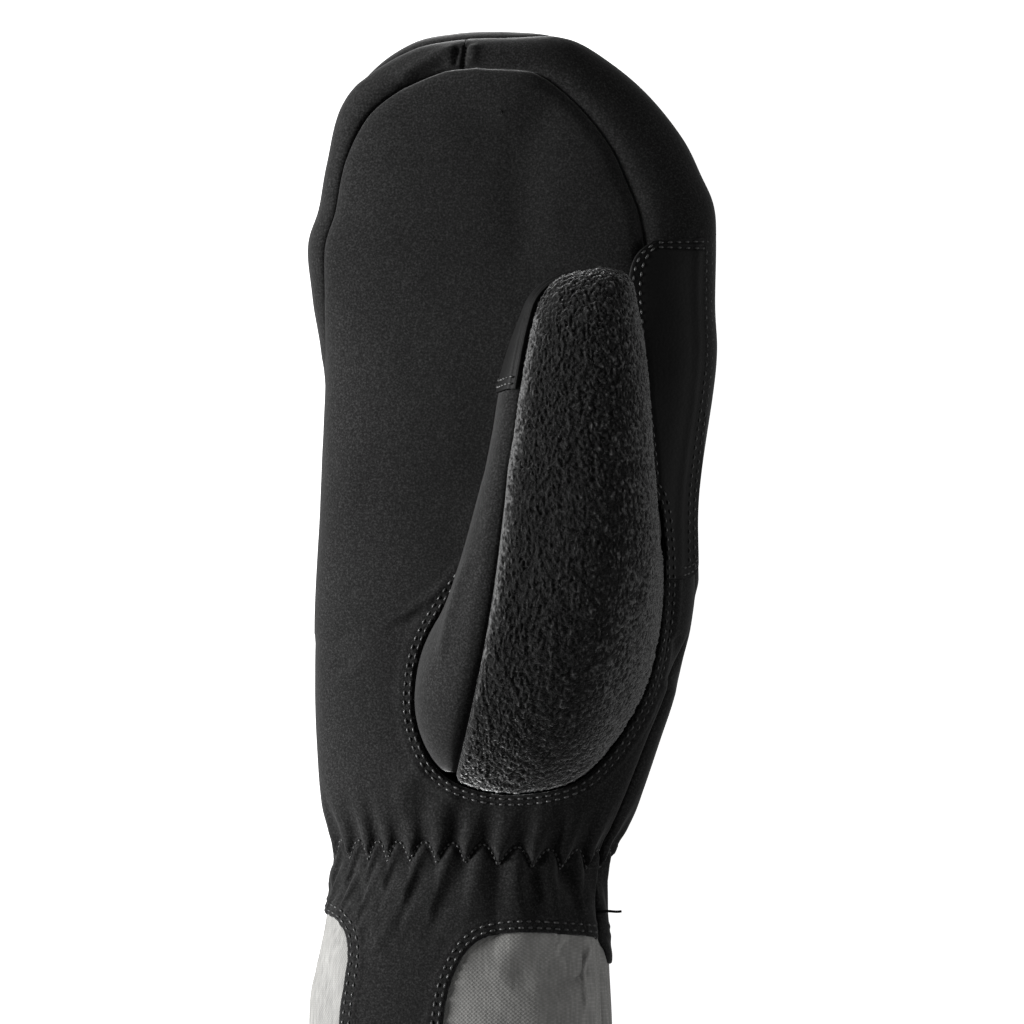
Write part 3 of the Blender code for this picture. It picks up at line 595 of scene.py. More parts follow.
def fine_columns():
    """Fractional CAD columns of one half, crowded beside the seams."""
    columns = [0.0]
    for span, crowding in enumerate(CROWDING):
        first, last = CAD_SPANS[span], CAD_SPANS[span + 1]
        count = FINE_SPANS[span + 1] - FINE_SPANS[span]
        s = np.arange(1, count + 1) / count
        if span == 0:
            s = s + crowding * np.sin(math.pi * s) / math.pi
        elif span == 1:
            s = s - crowding * np.sin(2 * math.pi * s) / (2 * math.pi)
        else:
            s = s - crowding * np.sin(math.pi * s) / math.pi
        columns += list(first + (last - first) * s)
    return np.array(columns)


def vertex_normals(points, quads):
    """Unit normals of flat arrays of points and quads."""
    a, b, c, d = (points[quads[:, i]] for i in range(4))
    faces = np.cross(c - a, d - b)
    normals = np.zeros_like(points)
    for i in range(4):
        np.add.at(normals, quads[:, i], faces)
    return normals / np.maximum(np.linalg.norm(normals, axis=1, keepdims=True), 1e-20)


Form = namedtuple("Form", "points normals ids quads y arc place")


def grid_quads(ids):
    """Quads of a grid of point numbers that closes on itself sideways, by (row, column)."""
    right = np.roll(ids, -1, axis=1)
    return np.stack([ids[:-1], ids[1:], right[1:], right[:-1]], axis=2)


def grid_ids(points):
    return np.arange(points[..., 0].size).reshape(points.shape[:2])


def grid_normals(points, quads):
    return vertex_normals(points.reshape(-1, 3), quads.reshape(-1, 4)).reshape(points.shape)


def hand_form():
    """The hand's smooth surface as a grid, once round in each row from the middle of the palm
    down the left side. On the last ring both sides share their points."""
    places, columns = fine_places(), fine_columns()
    half = len(columns) - 1
    rings = along(RINGS, places)
    profiles = at_height(PROFILES, rings[:, 1])
    seams = at_height(SEAMS, rings[:, 1])
    rows = []
    for ring, profile, seam in zip(rings, profiles, seams):
        left = half_section(ring, profile, seam, "left", columns)
        right = half_section(ring, profile, seam, "right", columns)
        rows.append(np.concatenate([left, right[-2:0:-1]]))
    points = np.array(rows)
    ids = grid_ids(points)
    ids[-1, half + 1 :] = ids[-1, half - 1 : 0 : -1]
    quads = grid_quads(ids)
    normals = grid_normals(points, quads)
    normals[-1, half + 1 :] = normals[-1, half - 1 : 0 : -1]
    steps = np.linalg.norm(np.roll(points, -1, axis=1) - points, axis=2)
    arc = np.cumsum(steps, axis=1) - steps
    arc[:, half + 1 :] -= steps.sum(axis=1, keepdims=True)
    return Form(points, normals, ids, quads, (rings[:, 1] - 0.5) * LENGTH, arc, places)


# Outlines on the flat


def closed_curve(table):
    rows = np.array(table)
    t = np.arange(len(rows) * CURVE_STEPS) / CURVE_STEPS
    return flat(round_table(rows, t))


def open_curve(table):
    return flat(along(table, np.arange((len(table) - 1) * CURVE_STEPS + 1) / CURVE_STEPS))


def flat(shares):
    return (np.asarray(shares) - (0.0, 0.5)) * (WIDTH, LENGTH)


def distance_to(curve, xy):
    """Distance of each point to a run of flat segments."""
    best = np.full(len(xy), np.inf)
    for a, b in zip(curve, curve[1:]):
        run = b - a
        t = np.clip((xy - a) @ run / max(run @ run, 1e-18), 0, 1)
        best = np.minimum(best, np.linalg.norm(xy - a - t[:, None] * run, axis=1))
    return best


def inside_of(loop, xy):
    found = np.zeros(len(xy), bool)
    for (ax, ay), (bx, by) in zip(loop, np.roll(loop, -1, axis=0)):
        crosses = (ay > xy[:, 1]) != (by > xy[:, 1])
        if crosses.any():
            level = ax + (xy[:, 1] - ay) * (bx - ax) / ((by - ay) or 1e-18)
            found ^= crosses & (xy[:, 0] < level)
    return found


def signed_distance(points, curve, loop):
    """Distance to a flat curve, below zero inside a loop."""
    xy = points[..., :2].reshape(-1, 2)
    away = distance_to(curve, xy)
    return np.where(inside_of(loop, xy), -away, away).reshape(points.shape[:-1])


def hole_distance(points):
    """Distance to the thumb hole's edge, below zero inside it."""
    loop = closed_curve(THUMB_HOLE)
    return signed_distance(points, np.vstack([loop, loop[:1]]), loop)


def gore_distance(points, side):
    """Distance to a gore's edge, below zero on the gore."""
    curve = open_curve(GORE_EDGES[side])
    far = -WIDTH if side == "little" else WIDTH
    return signed_distance(points, curve, np.vstack([curve, [(far, curve[-1, 1]), (far, curve[0, 1])]]))


def both_gores(points):
    """Distance to the nearer gore's edge, below zero on a gore."""
    return np.minimum(*(gore_distance(points, side) for side in GORE_EDGES))


# Relief of the hand


def seam_relief(distance):
    depth, reach = SEAM_VALLEY
    shoulder, roll = SEAM_SHOULDER
    return -depth * np.exp(-np.abs(distance) / reach) - shoulder * bell(distance, roll)


def edge_relief(distance, rows):
    """A folded edge: a flat welt, two grooves for its stitches, and the roll of the fold."""
    welt = smooth(distance / EDGE_ROLL) * (1 - smooth((distance - WELT_WIDTH) / (WELT_WIDTH / 3)))
    depth, reach = ROW_GROOVE
    grooves = sum(bell(distance - row, reach) for row in rows)
    rolled = 1 - np.clip(distance / EDGE_ROLL, 0, 1)
    return WELT_HEIGHT * welt - depth * grooves - EDGE_ROLL * (1 - np.sqrt(1 - rolled**2))


def pleat_numbers(form):
    """Arcs of the zigzag's high points over three rounds of the wrist, their numbers, how many
    there are in one round, and the arcs of the wrist's own points."""
    wrist = np.argmin(np.abs(form.y - (ELASTIC_SHARE - 0.5) * LENGTH))
    arc, x = form.arc[wrist], form.points[wrist, :, 0]
    up = form.normals[wrist, :, 2] > 0
    order = np.argsort(arc[up])
    highs = np.interp(-np.array(PLEATS_X) * WIDTH, -x[up][order], arc[up][order])[::-1]
    round_trip = arc.max() - arc.min() + np.linalg.norm(
        form.points[wrist, arc.argmax()] - form.points[wrist, arc.argmin()]
    )
    behind = highs[0] + round_trip - highs[-1]
    count = round(behind / PLEAT_PITCH)
    once = np.concatenate([highs, highs[-1] + behind * np.arange(1, count) / count])
    arcs = np.concatenate([once - round_trip, once, once + round_trip])
    return arcs, np.arange(len(arcs), dtype=float) - len(once), len(once), arc


def zigzag(phase):
    """Height of the elastic's line: round at whole phases and pointed between them."""
    off = np.abs(phase - np.round(phase)) * 2
    return ZIGZAG_HALF * (1 - 2 * off**ZIGZAG_POINT)


def elastic_middle(x, looks_up):
    """Height of the zigzag's middle line as a share of LENGTH."""
    lean_x, _, line_y = np.array(PLEAT_LEANS).T
    return np.where(looks_up, np.interp(x, lean_x, line_y), ELASTIC_SHARE)


def pleat_relief(form):
    """Ridges over the elastic end in the low points of its zigzag, those under it begin in the
    high points."""
    arcs, numbers, _, wrist_arc = pleat_numbers(form)
    x = form.points[..., 0] / WIDTH
    looks_up = form.normals[..., 2] > 0
    lean_x, lean, _ = np.array(PLEAT_LEANS).T
    lean = np.where(looks_up, np.interp(x, lean_x, lean), 0.0)
    middle = elastic_middle(x, looks_up)
    phase = np.interp(wrist_arc, arcs, numbers)[None, :]
    above = form.y[:, None] - (middle - 0.5) * LENGTH - zigzag(phase)
    down = np.maximum(-above, 0)
    lower = np.interp(wrist_arc[None, :] - lean * down, arcs, numbers)
    upper_ridge = (0.5 - 0.5 * np.cos(2 * math.pi * phase)) ** PLEAT_SHARP - UPPER_LEVEL
    height, level = LOWER_RIDGE
    lower_ridge = height * np.cos(2 * math.pi * lower) + level
    up_fade = (1 - smooth(above / PLEAT_UP)) ** PLEAT_SHARP
    down_fade = 1 - smooth(down / PLEAT_DOWN)
    ridges = np.where(above > 0, upper_ridge * up_fade, lower_ridge * down_fade)
    depth, reach = ELASTIC_DIP
    pinned = 1 - ELASTIC_PINS * bell(above, reach)
    vary = 1 + waves(form.points, PLEAT_WAVE)
    return PLEAT_HEIGHT * ridges * pinned * vary - depth * bell(above, reach)


def fold_relief(form, folds):
    """Relief of these folds, where the surface looks up."""
    upper = smooth(form.normals[..., 2] / FOLD_FACING + 0.5)
    share, least = FOLD_FADE
    relief = np.zeros(form.points.shape[:2])
    xy = form.points[..., :2].reshape(-1, 2)
    for fold in folds:
        ends = np.array(fold[:6]).reshape(3, 2)
        t = np.linspace(0, 1, FOLD_STEPS + 1)[:, None]
        middle = 2 * ends[1] - (ends[0] + ends[2]) / 2
        curve = flat((1 - t) ** 2 * ends[0] + 2 * t * (1 - t) * middle + t * t * ends[2])
        margin = FOLD_NEAR * fold.reach
        near = np.all((xy > curve.min(axis=0) - margin) & (xy < curve.max(axis=0) + margin), axis=1)
        away = distance_to(curve, xy[near])
        along_it = np.argmin(np.linalg.norm(xy[near][:, None] - curve[None], axis=2), axis=1) / FOLD_STEPS
        fade = smooth(np.minimum(along_it, 1 - along_it) * share + least)
        relief.reshape(-1)[near] += fold.height * bell(away, fold.reach) * fade
    return relief * upper


def hand_relief(form):
    """How far each point of the hand stands out from the smooth form."""
    points, arc = form.points, form.arc
    relief = waves(points, *HAND_WAVES) + fold_relief(form, FOLDS) + pleat_relief(form)
    palm_left, back_left = FINE_SPANS[1], FINE_SPANS[2]
    total = points.shape[1]
    spine_y = form.y / LENGTH + 0.5
    sides = {"left": (palm_left, back_left), "right": (total - palm_left, total - back_left)}
    for side, (palm_seam, back_seam) in sides.items():
        relief += seam_relief(arc - arc[:, [palm_seam]])
        beside = smooth((spine_y - GUSSET_END[side]) / GUSSET_FADE)[:, None]
        relief += BACK_SEAM * beside * seam_relief(arc - arc[:, [back_seam]])
        width = np.abs(arc[:, [back_seam]] - arc[:, [palm_seam]])
        share = np.abs(arc - arc[:, [palm_seam]]) / np.maximum(width, MM)
        between = (np.abs(arc - arc[:, [back_seam]]) <= width) & (share <= 1)
        relief += np.where(between, GUSSET_CROWN * beside * np.sin(math.pi * share), 0.0)
    return relief


# Cloth panels as meshes


def clipped(points, normals, faces, keep):
    """The part of a mesh where keep is above zero, cut along its zero line."""
    points, normals = list(points), list(normals)
    cuts, kept = {}, []

    def cut(a, b):
        key = (min(a, b), max(a, b))
        if key not in cuts:
            t = keep[a] / (keep[a] - keep[b])
            cuts[key] = len(points)
            points.append(points[a] + (points[b] - points[a]) * t)
            normals.append(normals[a] + (normals[b] - normals[a]) * t)
        return cuts[key]

    good = keep > 0
    for face in faces:
        signs = [good[v] for v in face]
        if all(signs):
            kept.append(face)
        elif any(signs):
            found = []
            for a, b in zip(face, face[1:] + face[:1]):
                if good[a]:
                    found.append(a)
                if good[a] != good[b]:
                    found.append(cut(a, b))
            kept.append(found)
    return np.array(points), np.array(normals), kept


def rim_of(faces):
    """Directed edges that only one face has."""
    edges = {}
    for face in faces:
        for a, b in zip(face, face[1:] + face[:1]):
            if edges.pop((b, a), None) is None:
                edges[a, b] = True
    return list(edges)


def walled(points, normals, faces, wall):
    """The faces with their cut edge folded in by the wall's thickness, in two steps."""
    rim = rim_of(faces)
    corners = sorted({v for edge in rim for v in edge})
    order = {v: i for i, v in enumerate(corners)}
    base = len(points)
    half, full = (points[corners] - normals[corners] * depth for depth in (wall / 2, wall))
    everything = np.vstack([points, half, full])
    faces = list(faces)
    for a, b in rim:
        a1, b1 = base + order[a], base + order[b]
        a2, b2 = a1 + len(corners), b1 + len(corners)
        faces += [[b, a, a1, b1], [b1, a1, a2, b2]]
    return everything, faces


def piece(name, points, faces, look, node=None):
    """An object of the scene from points and faces, with doubled corners dropped."""
    used = np.zeros(len(points), bool)
    clean = []
    for face in faces:
        face = list(dict.fromkeys(int(v) for v in face))
        if len(face) > 2:
            clean.append(face)
            used[face] = True
    order = np.cumsum(used) - 1
    mesh = bpy.data.meshes.new(name)
    mesh.from_pydata(points[used].tolist(), [], [[int(order[v]) for v in face] for face in clean])
    mesh.materials.append(look)
    mesh.shade_smooth()
    obj = bpy.data.objects.new(name, mesh)
    bpy.context.scene.collection.objects.link(obj)
    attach(obj, BODY)
    if node:
        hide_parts(node)
    return obj, used


def tree_of(obj):
    mesh = obj.data
    return BVHTree.FromPolygons([v.co for v in mesh.vertices], [p.vertices[:] for p in mesh.polygons])


def hand_panels(form):
    """Name of the panel that each quad of the hand belongs to, by (row, column)."""
    rows, total = form.quads.shape[:2]
    spine_y = form.y[:-1] / LENGTH + 0.5
    column = np.arange(total)
    left_palm, left_back = FINE_SPANS[1], FINE_SPANS[2]
    palm = (column < left_palm) | (column >= total - left_palm)
    left = (column >= left_palm) & (column < left_back)
    right = (column >= total - left_back) & (column < total - left_palm)
    names = np.full((rows, total), "back_panel", dtype=object)
    names[:, palm] = "palm_panel"
    names[np.ix_(spine_y >= GUSSET_END["left"], left)] = "gusset_little"
    names[np.ix_(spine_y >= GUSSET_END["right"], right)] = "gusset_index"
    names[np.ix_(form.place[:-1] >= JOIN_RING, left)] = "join"
    return names


def left_of_join(points):
    """How far points lie to the little finger's side of the line that joins the gussets."""
    top, foot = flat(JOIN_LINE)
    slope = (top[0] - foot[0]) / (top[1] - foot[1])
    return foot[0] + (points[..., 1] - foot[1]) * slope - points[..., 0]


def wall_at(form):
    share = smooth((form.y / LENGTH + 0.5 - ELASTIC_SHARE) / ELASTIC_SHARE + 0.5)
    return CUFF_WALL + (HAND_WALL - CUFF_WALL) * share


def inner_faces(form, names, wanted):
    """Coarse faces of the inside, turned to face inwards."""
    rows, total = names.shape
    faces = []
    for k in range(0, rows, INNER_STEP):
        over = min(k + INNER_STEP, rows)
        for j in range(0, total, INNER_STEP):
            if names[k, j] in wanted:
                beside = (j + INNER_STEP) % total
                faces.append([form.ids[k, beside], form.ids[over, beside],
                              form.ids[over, j], form.ids[k, j]])
    return faces


def displaced(form, relief):
    """The form's points moved out by the relief, but not under the floor, and their normals."""
    outer = form.points + form.normals * relief[..., None]
    outer[..., 2] = np.maximum(outer[..., 2], 0.0)
    return outer, grid_normals(outer, form.quads).reshape(-1, 3)


def panel_cloth(form, names, wanted, keep, cloth, wall):
    """Points and faces of one panel: its outer side, its folded edge and its coarse inside."""
    outer, normals, inner = cloth
    keep = keep.ravel()
    faces = form.quads[np.isin(names, wanted)].tolist()
    points, cut_normals, faces = clipped(outer.reshape(-1, 3), normals, faces, keep)
    points, faces = walled(points, cut_normals, faces, wall)
    coarse = inner_faces(form, names, wanted)
    inside, _, inside_faces = clipped(inner.reshape(-1, 3), normals, coarse, keep)
    faces += [[v + len(points) for v in face] for face in inside_faces]
    return np.vstack([points, inside]), faces


def build_hand(form, looks):
    """The four softshell panels. Returns them by name, and the relief's points."""
    keep_gores = both_gores(form.points)
    upper = (form.normals[..., 2] > HOLE_FACING) & (form.points[..., 2] > PALM_HEIGHT / 2)
    hole = np.where(upper, hole_distance(form.points), LENGTH)
    relief = hand_relief(form)
    relief += edge_relief(keep_gores.clip(0), STITCH_ROWS) + edge_relief(hole.clip(0), HOLE_ROWS)
    outer, normals = displaced(form, relief)
    cloth = (outer, normals, form.points - form.normals * wall_at(form)[:, None, None])
    names = hand_panels(form)
    join = left_of_join(form.points)
    keeps = {
        "palm_panel": np.minimum(keep_gores, hole),
        "back_panel": keep_gores,
        "gusset_little": np.minimum(keep_gores, join),
        "gusset_index": np.minimum(keep_gores, -join),
    }
    made = {}
    for name, keep in keeps.items():
        wanted = (name, "join") if "gusset" in name else (name,)
        points, faces = panel_cloth(form, names, wanted, keep, cloth, CUFF_WALL)
        made[name], _ = piece(name + "_cloth", points, faces, looks["softshell"], name)
    return made, outer


def build_gores(form, looks):
    """The woven cloth of the cuff, a little lower than the softshell and tucked under its edge."""
    relief = hand_relief(form) - GORE_RECESS + waves(form.points, GORE_WAVE)
    relief += fold_relief(form, GORE_FOLDS)
    outer, normals = displaced(form, relief)
    cloth = (outer, normals, form.points - form.normals * (GORE_RECESS + GORE_WALL))
    names = hand_panels(form)
    names[form.y[:-1] > (GORE_TOP - 0.5) * LENGTH] = "none"
    made = {}
    for side in ("index", "little"):
        keep = GORE_TUCK - gore_distance(form.points, side)
        for half in ("palm", "back"):
            node = f"cuff_{half}_{side}"
            points, faces = panel_cloth(form, names, (half + "_panel",), keep, cloth, GORE_WALL)
            made[node], _ = piece(node + "_cloth", points, faces, looks["woven"], node)
    return made


# Form of the thumb


def hole_points(degrees, inset):
    """Flat points of the thumb hole's edge, moved inwards by inset."""
    rows = np.array(THUMB_HOLE)
    t = degrees / 360 * len(rows)
    steps = (-TANGENT_STEP, 0.0, TANGENT_STEP)
    before, spot, after = (flat(round_table(rows, t + step)) for step in steps)
    run = after - before
    run /= np.linalg.norm(run, axis=1, keepdims=True)
    return spot + np.stack([run[:, 1], -run[:, 0]], axis=1) * inset


def palm_heights(x, y):
    """Height of the smooth palm over flat points."""
    share = y / LENGTH + 0.5
    rings = along(RINGS, np.interp(share, [r.spine_y for r in RINGS], np.arange(len(RINGS))))
    _, palm, back, shape, _ = at_height(PROFILES, share).T
    spine_x, _, left_x, _, right_x, _ = rings.T * WIDTH
    edge = np.where(x < spine_x, left_x, right_x)
    out = np.minimum(0.999, np.abs((x - spine_x) / (edge - spine_x)))
    top, bottom = palm * PALM_HEIGHT, back * PALM_HEIGHT
    middle = (top + bottom) / 2
    return middle + (top - middle) * (1 - out**shape) ** (1 / shape)


def thumb_angles(columns, root, tip=0.0):
    """Degrees round the thumb of fractional CAD columns. root is 1 at the hole and 0 beyond, and
    tip is 1 at the tip."""
    first, last = FRONT_COLUMNS
    seam = FLEECE_SEAM + (FLEECE_SEAM_ROOT - FLEECE_SEAM) * root + FLEECE_SEAM_TIP * tip
    return np.interp(columns, [0, first, last, THUMB_COLUMNS], [0, seam, FLEECE_SEAM_UNDER, 360])


def thumb_section(ring, degrees):
    """Points of the thumb's free part: 0 degrees is its nail side, 90 its left."""
    y, middle, half, lift, depth = ring
    base = palm_heights(np.array([middle * WIDTH]), np.array([(y - 0.5) * LENGTH]))[0]
    half_depth = depth * THUMB_DEPTH / 2
    turn = np.radians(degrees)
    across, up = np.sin(turn), np.cos(turn)
    x = middle * WIDTH - np.sign(across) * np.abs(across) ** (2 / THUMB_SHAPE) * half * THUMB_WIDTH
    z = base + THUMB_LIFT + lift * THUMB_DEPTH
    z = z + half_depth * (1 + np.sign(up) * np.abs(up) ** (2 / THUMB_SHAPE))
    return np.stack([x, np.full_like(x, (y - 0.5) * LENGTH), z], axis=1)


def thumb_places():
    """Fractional rows of THUMB_RINGS where the free part's rings lie."""
    scale = (LENGTH, WIDTH, THUMB_WIDTH, 0, THUMB_DEPTH / 2)
    table = np.array(THUMB_RINGS) * scale
    places = [0.0]
    for i, (a, b) in enumerate(zip(table, table[1:])):
        count = math.ceil(np.linalg.norm(b - a) / THUMB_STEP)
        places += [i + (n + 1) / count for n in range(count)]
    return np.array(places)


def thumb_form():
    """The thumb's smooth surface: two rings in the palm's wall, the root, the free part, the tip."""
    columns = np.arange(THUMB_FINE) * THUMB_COLUMNS / THUMB_FINE
    degrees = thumb_angles(columns, 1.0)
    feet = hole_points(degrees, HOLE_GAP)
    feet = np.column_stack([feet, palm_heights(*feet.T)])
    lean = THUMB_LEAN * np.maximum(0.0, np.cos(np.radians(degrees)))
    rise = np.column_stack([np.zeros_like(lean), lean, np.ones_like(lean)])
    rise /= np.linalg.norm(rise, axis=1, keepdims=True)
    crown = thumb_section(THUMB_RINGS[0], thumb_angles(columns, 0.0))
    across = np.sin(np.radians(degrees))
    flare = np.where(across > 0, THUMB_FLARE["left"], THUMB_FLARE["right"]) * across
    span = np.linalg.norm(crown - feet, axis=1, keepdims=True)
    start = feet + rise * span * THUMB_RISE
    forward = np.column_stack([flare, np.ones_like(flare), np.zeros_like(flare)])
    stop = crown - forward * span * THUMB_REACH
    rows = [feet - (0, 0, HAND_WALL)]
    for t in np.linspace(0, 1, THUMB_ROOT_FINE + 1):
        u = 1 - t
        row = u**3 * feet + 3 * u * u * t * start + 3 * u * t * t * stop + t**3 * crown
        moved = columns - SEAM_BOW * 4 * t * u * bell(columns - FRONT_COLUMNS[0], SEAM_BOW_REACH)
        rows.append(np.stack([np.interp(moved, columns, row[:, a]) for a in range(3)], axis=1))
    places = thumb_places()
    for place, ring in list(zip(places, along(THUMB_RINGS, places)))[1:]:
        tip = smooth((place - THUMB_PATCH_RING) / 3)
        rows.append(thumb_section(ring, thumb_angles(columns, 0.0, tip)))
    points = np.array(rows)
    ids = grid_ids(points)
    ids[-1] = ids[-1, 0]
    quads = grid_quads(ids)
    normals = grid_normals(points, quads)
    normals[-1] = normals[-1, 0]
    steps = np.linalg.norm(np.roll(points, -1, axis=1) - points, axis=2)
    arc = np.cumsum(steps, axis=1) - steps
    place = np.concatenate([[-1.0], np.linspace(-1, 0, THUMB_ROOT_FINE + 1), places[1:]])
    return Form(points, normals, ids, quads, points[..., 1], arc, place)


def pile_height(points):
    """The fleece's pile from 0 to 1: curled tufts, a little longer along the thumb."""
    bent = points + np.stack([waves(points, row) for row in PILE_CURL], axis=-1)
    return np.clip(0.5 + waves(bent, *PILE_WAVES) + waves(points, PILE_PATCHY), 0, 1)


def thumb_relief(form):
    """(relief, tone of the pile with painted highlights in it) of the thumb. The fleece stands higher than
    the front.
    """
    points, arc, total = form.points, form.arc, form.points.shape[1]
    first, last = (c * total // THUMB_COLUMNS for c in FRONT_COLUMNS)
    circumference = (arc[:, -1] + np.linalg.norm(points[:, 0] - points[:, -1], axis=1))[:, None]
    relief = waves(points, THUMB_WAVE)
    near = np.full_like(arc, 1.0)
    for seam in (first, last):
        away = arc - arc[:, [seam]]
        away = (away + circumference / 2) % np.maximum(circumference, 1e-9) - circumference / 2
        near = np.minimum(near, np.abs(away))
    column = np.arange(total)
    fleece = ((column < first) | (column >= last))[None, :]
    pile = pile_height(points)
    rounded = smooth(near / PILE_EDGE)
    _, roll = SEAM_SHOULDER
    front = -FRONT_ROLL * bell(near, roll) - SEAM_VALLEY[0] * np.exp(-near / SEAM_VALLEY[1])
    front = front + fold_relief(form, THUMB_FOLDS)
    over_tip = smooth((form.place - TIP_STARTS) / 2)[:, None]
    end = over_tip + FOOT_SHARE * (1 - smooth(form.place + 1))[:, None]
    napped = (PILE_BASE + PILE_ENDS * end + PILE_HEIGHT * (pile - 0.5)) * rounded
    napped = napped - PILE_SINK * (1 - rounded) * (1 - end)
    swell, reach = PILE_SWELL
    begins, full, fades, gone = SWELL_PLACES
    along_it = smooth((form.place - begins) / (full - begins)) * smooth((gone - form.place) / (gone - fades))
    beside_front = np.where(column < first, arc[:, [first]] - arc, LENGTH)
    napped = napped + swell * along_it[:, None] * bell(beside_front - reach, reach)
    # Painted highlight: the pile is painted paler in the band beside the front's seam, where the key light
    # catches the fleece's raised edge.
    pile = 0.5 + PILE_CONTRAST * (pile - 0.5) + PAINTED_EDGE_LIGHT * along_it[:, None] * bell(beside_front, reach)
    # Painted light: paler still where the surface faces right, as a painted sheen on that side.
    pile = pile + PAINTED_RIGHT_LIGHT * (form.normals[..., 0] + PAINTED_RIGHT_LIGHT_FROM).clip(0)
    relief += np.where(fleece, napped + fold_relief(form, FLEECE_FOLDS), front)
    foot = np.linalg.norm(points - points[1], axis=2)
    relief -= ROOT_DRAW * np.exp(-foot / ROOT_REACH)
    tip = smooth(circumference / TIP_CALM)
    return relief * tip, pile


def patch_edge(share):
    """Fractional ring of the thumb patch's lower edge, by the share of the front's width."""
    return THUMB_PATCH_RING - THUMB_PATCH_BULGE * np.sin(np.clip(share, 0, 1) * math.pi * 3) ** 2


def build_thumb(looks):
    form = thumb_form()
    relief, pile = thumb_relief(form)
    outer = form.points + form.normals * relief[..., None]
    outer[-1] = outer[-1, 0]
    flat_points = outer.reshape(-1, 3)
    normals = vertex_normals(flat_points, form.quads.reshape(-1, 4))
    total = form.points.shape[1]
    first, last = (c * total // THUMB_COLUMNS for c in FRONT_COLUMNS)
    column = np.arange(total)
    front = (column >= first) & (column < last)
    made = {}
    for node, mask, look in (("thumb_front", front, "softshell"), ("thumb_fleece", ~front, "fleece")):
        faces = form.quads[:, mask].reshape(-1, 4).tolist()
        points, faces = walled(flat_points, normals, faces, THUMB_WALL)
        made[node], used = piece(node + "_cloth", points, faces, looks[look], node)
        if node == "thumb_fleece":
            # Tone of the pile, with painted light in it, for the fleece's colour.
            heights = np.full(len(points), 0.5)
            heights[: len(flat_points)] = pile.ravel()
            attribute = made[node].data.attributes.new(PILE_AND_LIGHT_ATTRIBUTE, "FLOAT", "POINT")
            attribute.data.foreach_set("value", heights[used].astype(np.float32))
    smooth_rise = waves(form.points, THUMB_WAVE) + (PATCH_CLEARANCE + PATCH_WALL)
    beside_seam = np.abs(form.arc - form.arc[:, [first]])
    depth, reach = ROW_GROOVE
    smooth_rise -= THUMB_PATCH_GROOVE * depth * bell(beside_seam - STITCH_ROWS[0], reach)
    smooth_rise -= FRONT_ROLL / 2 * bell(beside_seam, EDGE_ROLL)
    share = (column * THUMB_COLUMNS / total - FRONT_COLUMNS[0]) / (FRONT_COLUMNS[1] - FRONT_COLUMNS[0])
    keep = form.place[:, None] - patch_edge(share)[None, :]
    skin = form.points + form.normals * smooth_rise[..., None]
    skin[-1] = skin[-1, 0]
    skin_normals = vertex_normals(skin.reshape(-1, 3), form.quads.reshape(-1, 4))
    faces = form.quads[:, front].reshape(-1, 4).tolist()
    points, cut_normals, faces = clipped(skin.reshape(-1, 3), skin_normals, faces, keep.ravel())
    points, faces = walled(points, cut_normals, faces, PATCH_WALL)
    made["thumb_patch"], _ = piece(
        "thumb_patch_cloth", points, faces, looks["reinforcement"], "thumb_patch"
    )
    return made, form


# The index reinforcement


def index_patch_grid():
    """Points and normals of the patch by (row, column), from its top to its foot."""
    places = np.arange((len(INDEX_PATCH) - 1) * PATCH_ROW_STEPS + 1) / PATCH_ROW_STEPS
    rows = along(INDEX_PATCH, places)
    share = np.linspace(0, 1, PATCH_FINE)[None, :]
    foot = 1 - smooth((rows[:, :1] - INDEX_PATCH[-1].y) / PATCH_FOOT)
    y = rows[:, :1] + PATCH_CORNER * share**4 * foot
    rings = along(RINGS, np.interp(y, [r.right_y for r in RINGS], np.arange(len(RINGS))).ravel())
    profiles = at_height(PROFILES, rings[:, 1])
    left = np.broadcast_to(rows[:, 1:], y.shape).ravel()
    out = np.clip((left - rings[:, 0]) / (rings[:, 4] - rings[:, 0]), 0, 1)
    inner = np.degrees(np.arccos(out ** (profiles[:, 3] / 2)))
    angle = inner + (PATCH_SIDE - inner) * np.broadcast_to(share, y.shape).ravel()
    points = section(rings, profiles, "right", angle).reshape(*y.shape, 3)
    ids = grid_ids(points)
    quads = np.stack([ids[:-1, :-1], ids[1:, :-1], ids[1:, 1:], ids[:-1, 1:]], axis=2)
    normals = grid_normals(points, quads)
    return points, normals, quads


def run_lengths(points):
    """Distance of each point of a grid from its first row, and from its first column."""
    down = np.cumsum(np.linalg.norm(np.diff(points, axis=0, prepend=points[:1]), axis=2), axis=0)
    over = np.cumsum(np.linalg.norm(np.diff(points, axis=1, prepend=points[:, :1]), axis=2), axis=1)
    return down, over


def rim_distance(points):
    """Distance of each point of a grid to the nearest of its four edges."""
    down, over = run_lengths(points)
    return np.minimum(np.minimum(down, down[-1:] - down), np.minimum(over, over[:, -1:] - over))


def build_index_patch(looks):
    points, normals, quads = index_patch_grid()
    away = rim_distance(points)
    relief = PATCH_CLEARANCE + PATCH_WALL + waves(points, *PATCH_WAVES)
    depth, reach = ROW_GROOVE
    relief -= depth * sum(bell(away - row, reach) for row in PATCH_ROWS)
    in_from_side = points[:, -1:, 0] - points[..., 0]
    relief -= depth * sum(bell(in_from_side - row, reach) for row in PATCH_SIDE_ROWS)
    relief += PATCH_RIDGE * bell(in_from_side - PATCH_RIDGE_IN, PATCH_RIDGE_REACH)
    outer = points + normals * relief[..., None]
    outer_normals = vertex_normals(outer.reshape(-1, 3), quads.reshape(-1, 4))
    keep = hole_distance(points).ravel()
    faces = quads.reshape(-1, 4).tolist()
    cut_points, cut_normals, faces = clipped(outer.reshape(-1, 3), outer_normals, faces, keep)
    cut_points, faces = walled(cut_points, cut_normals, faces, PATCH_WALL)
    made, _ = piece(
        "index_patch_cloth", cut_points, faces, looks["reinforcement"], "index_patch"
    )
    return made, outer


# Stitching


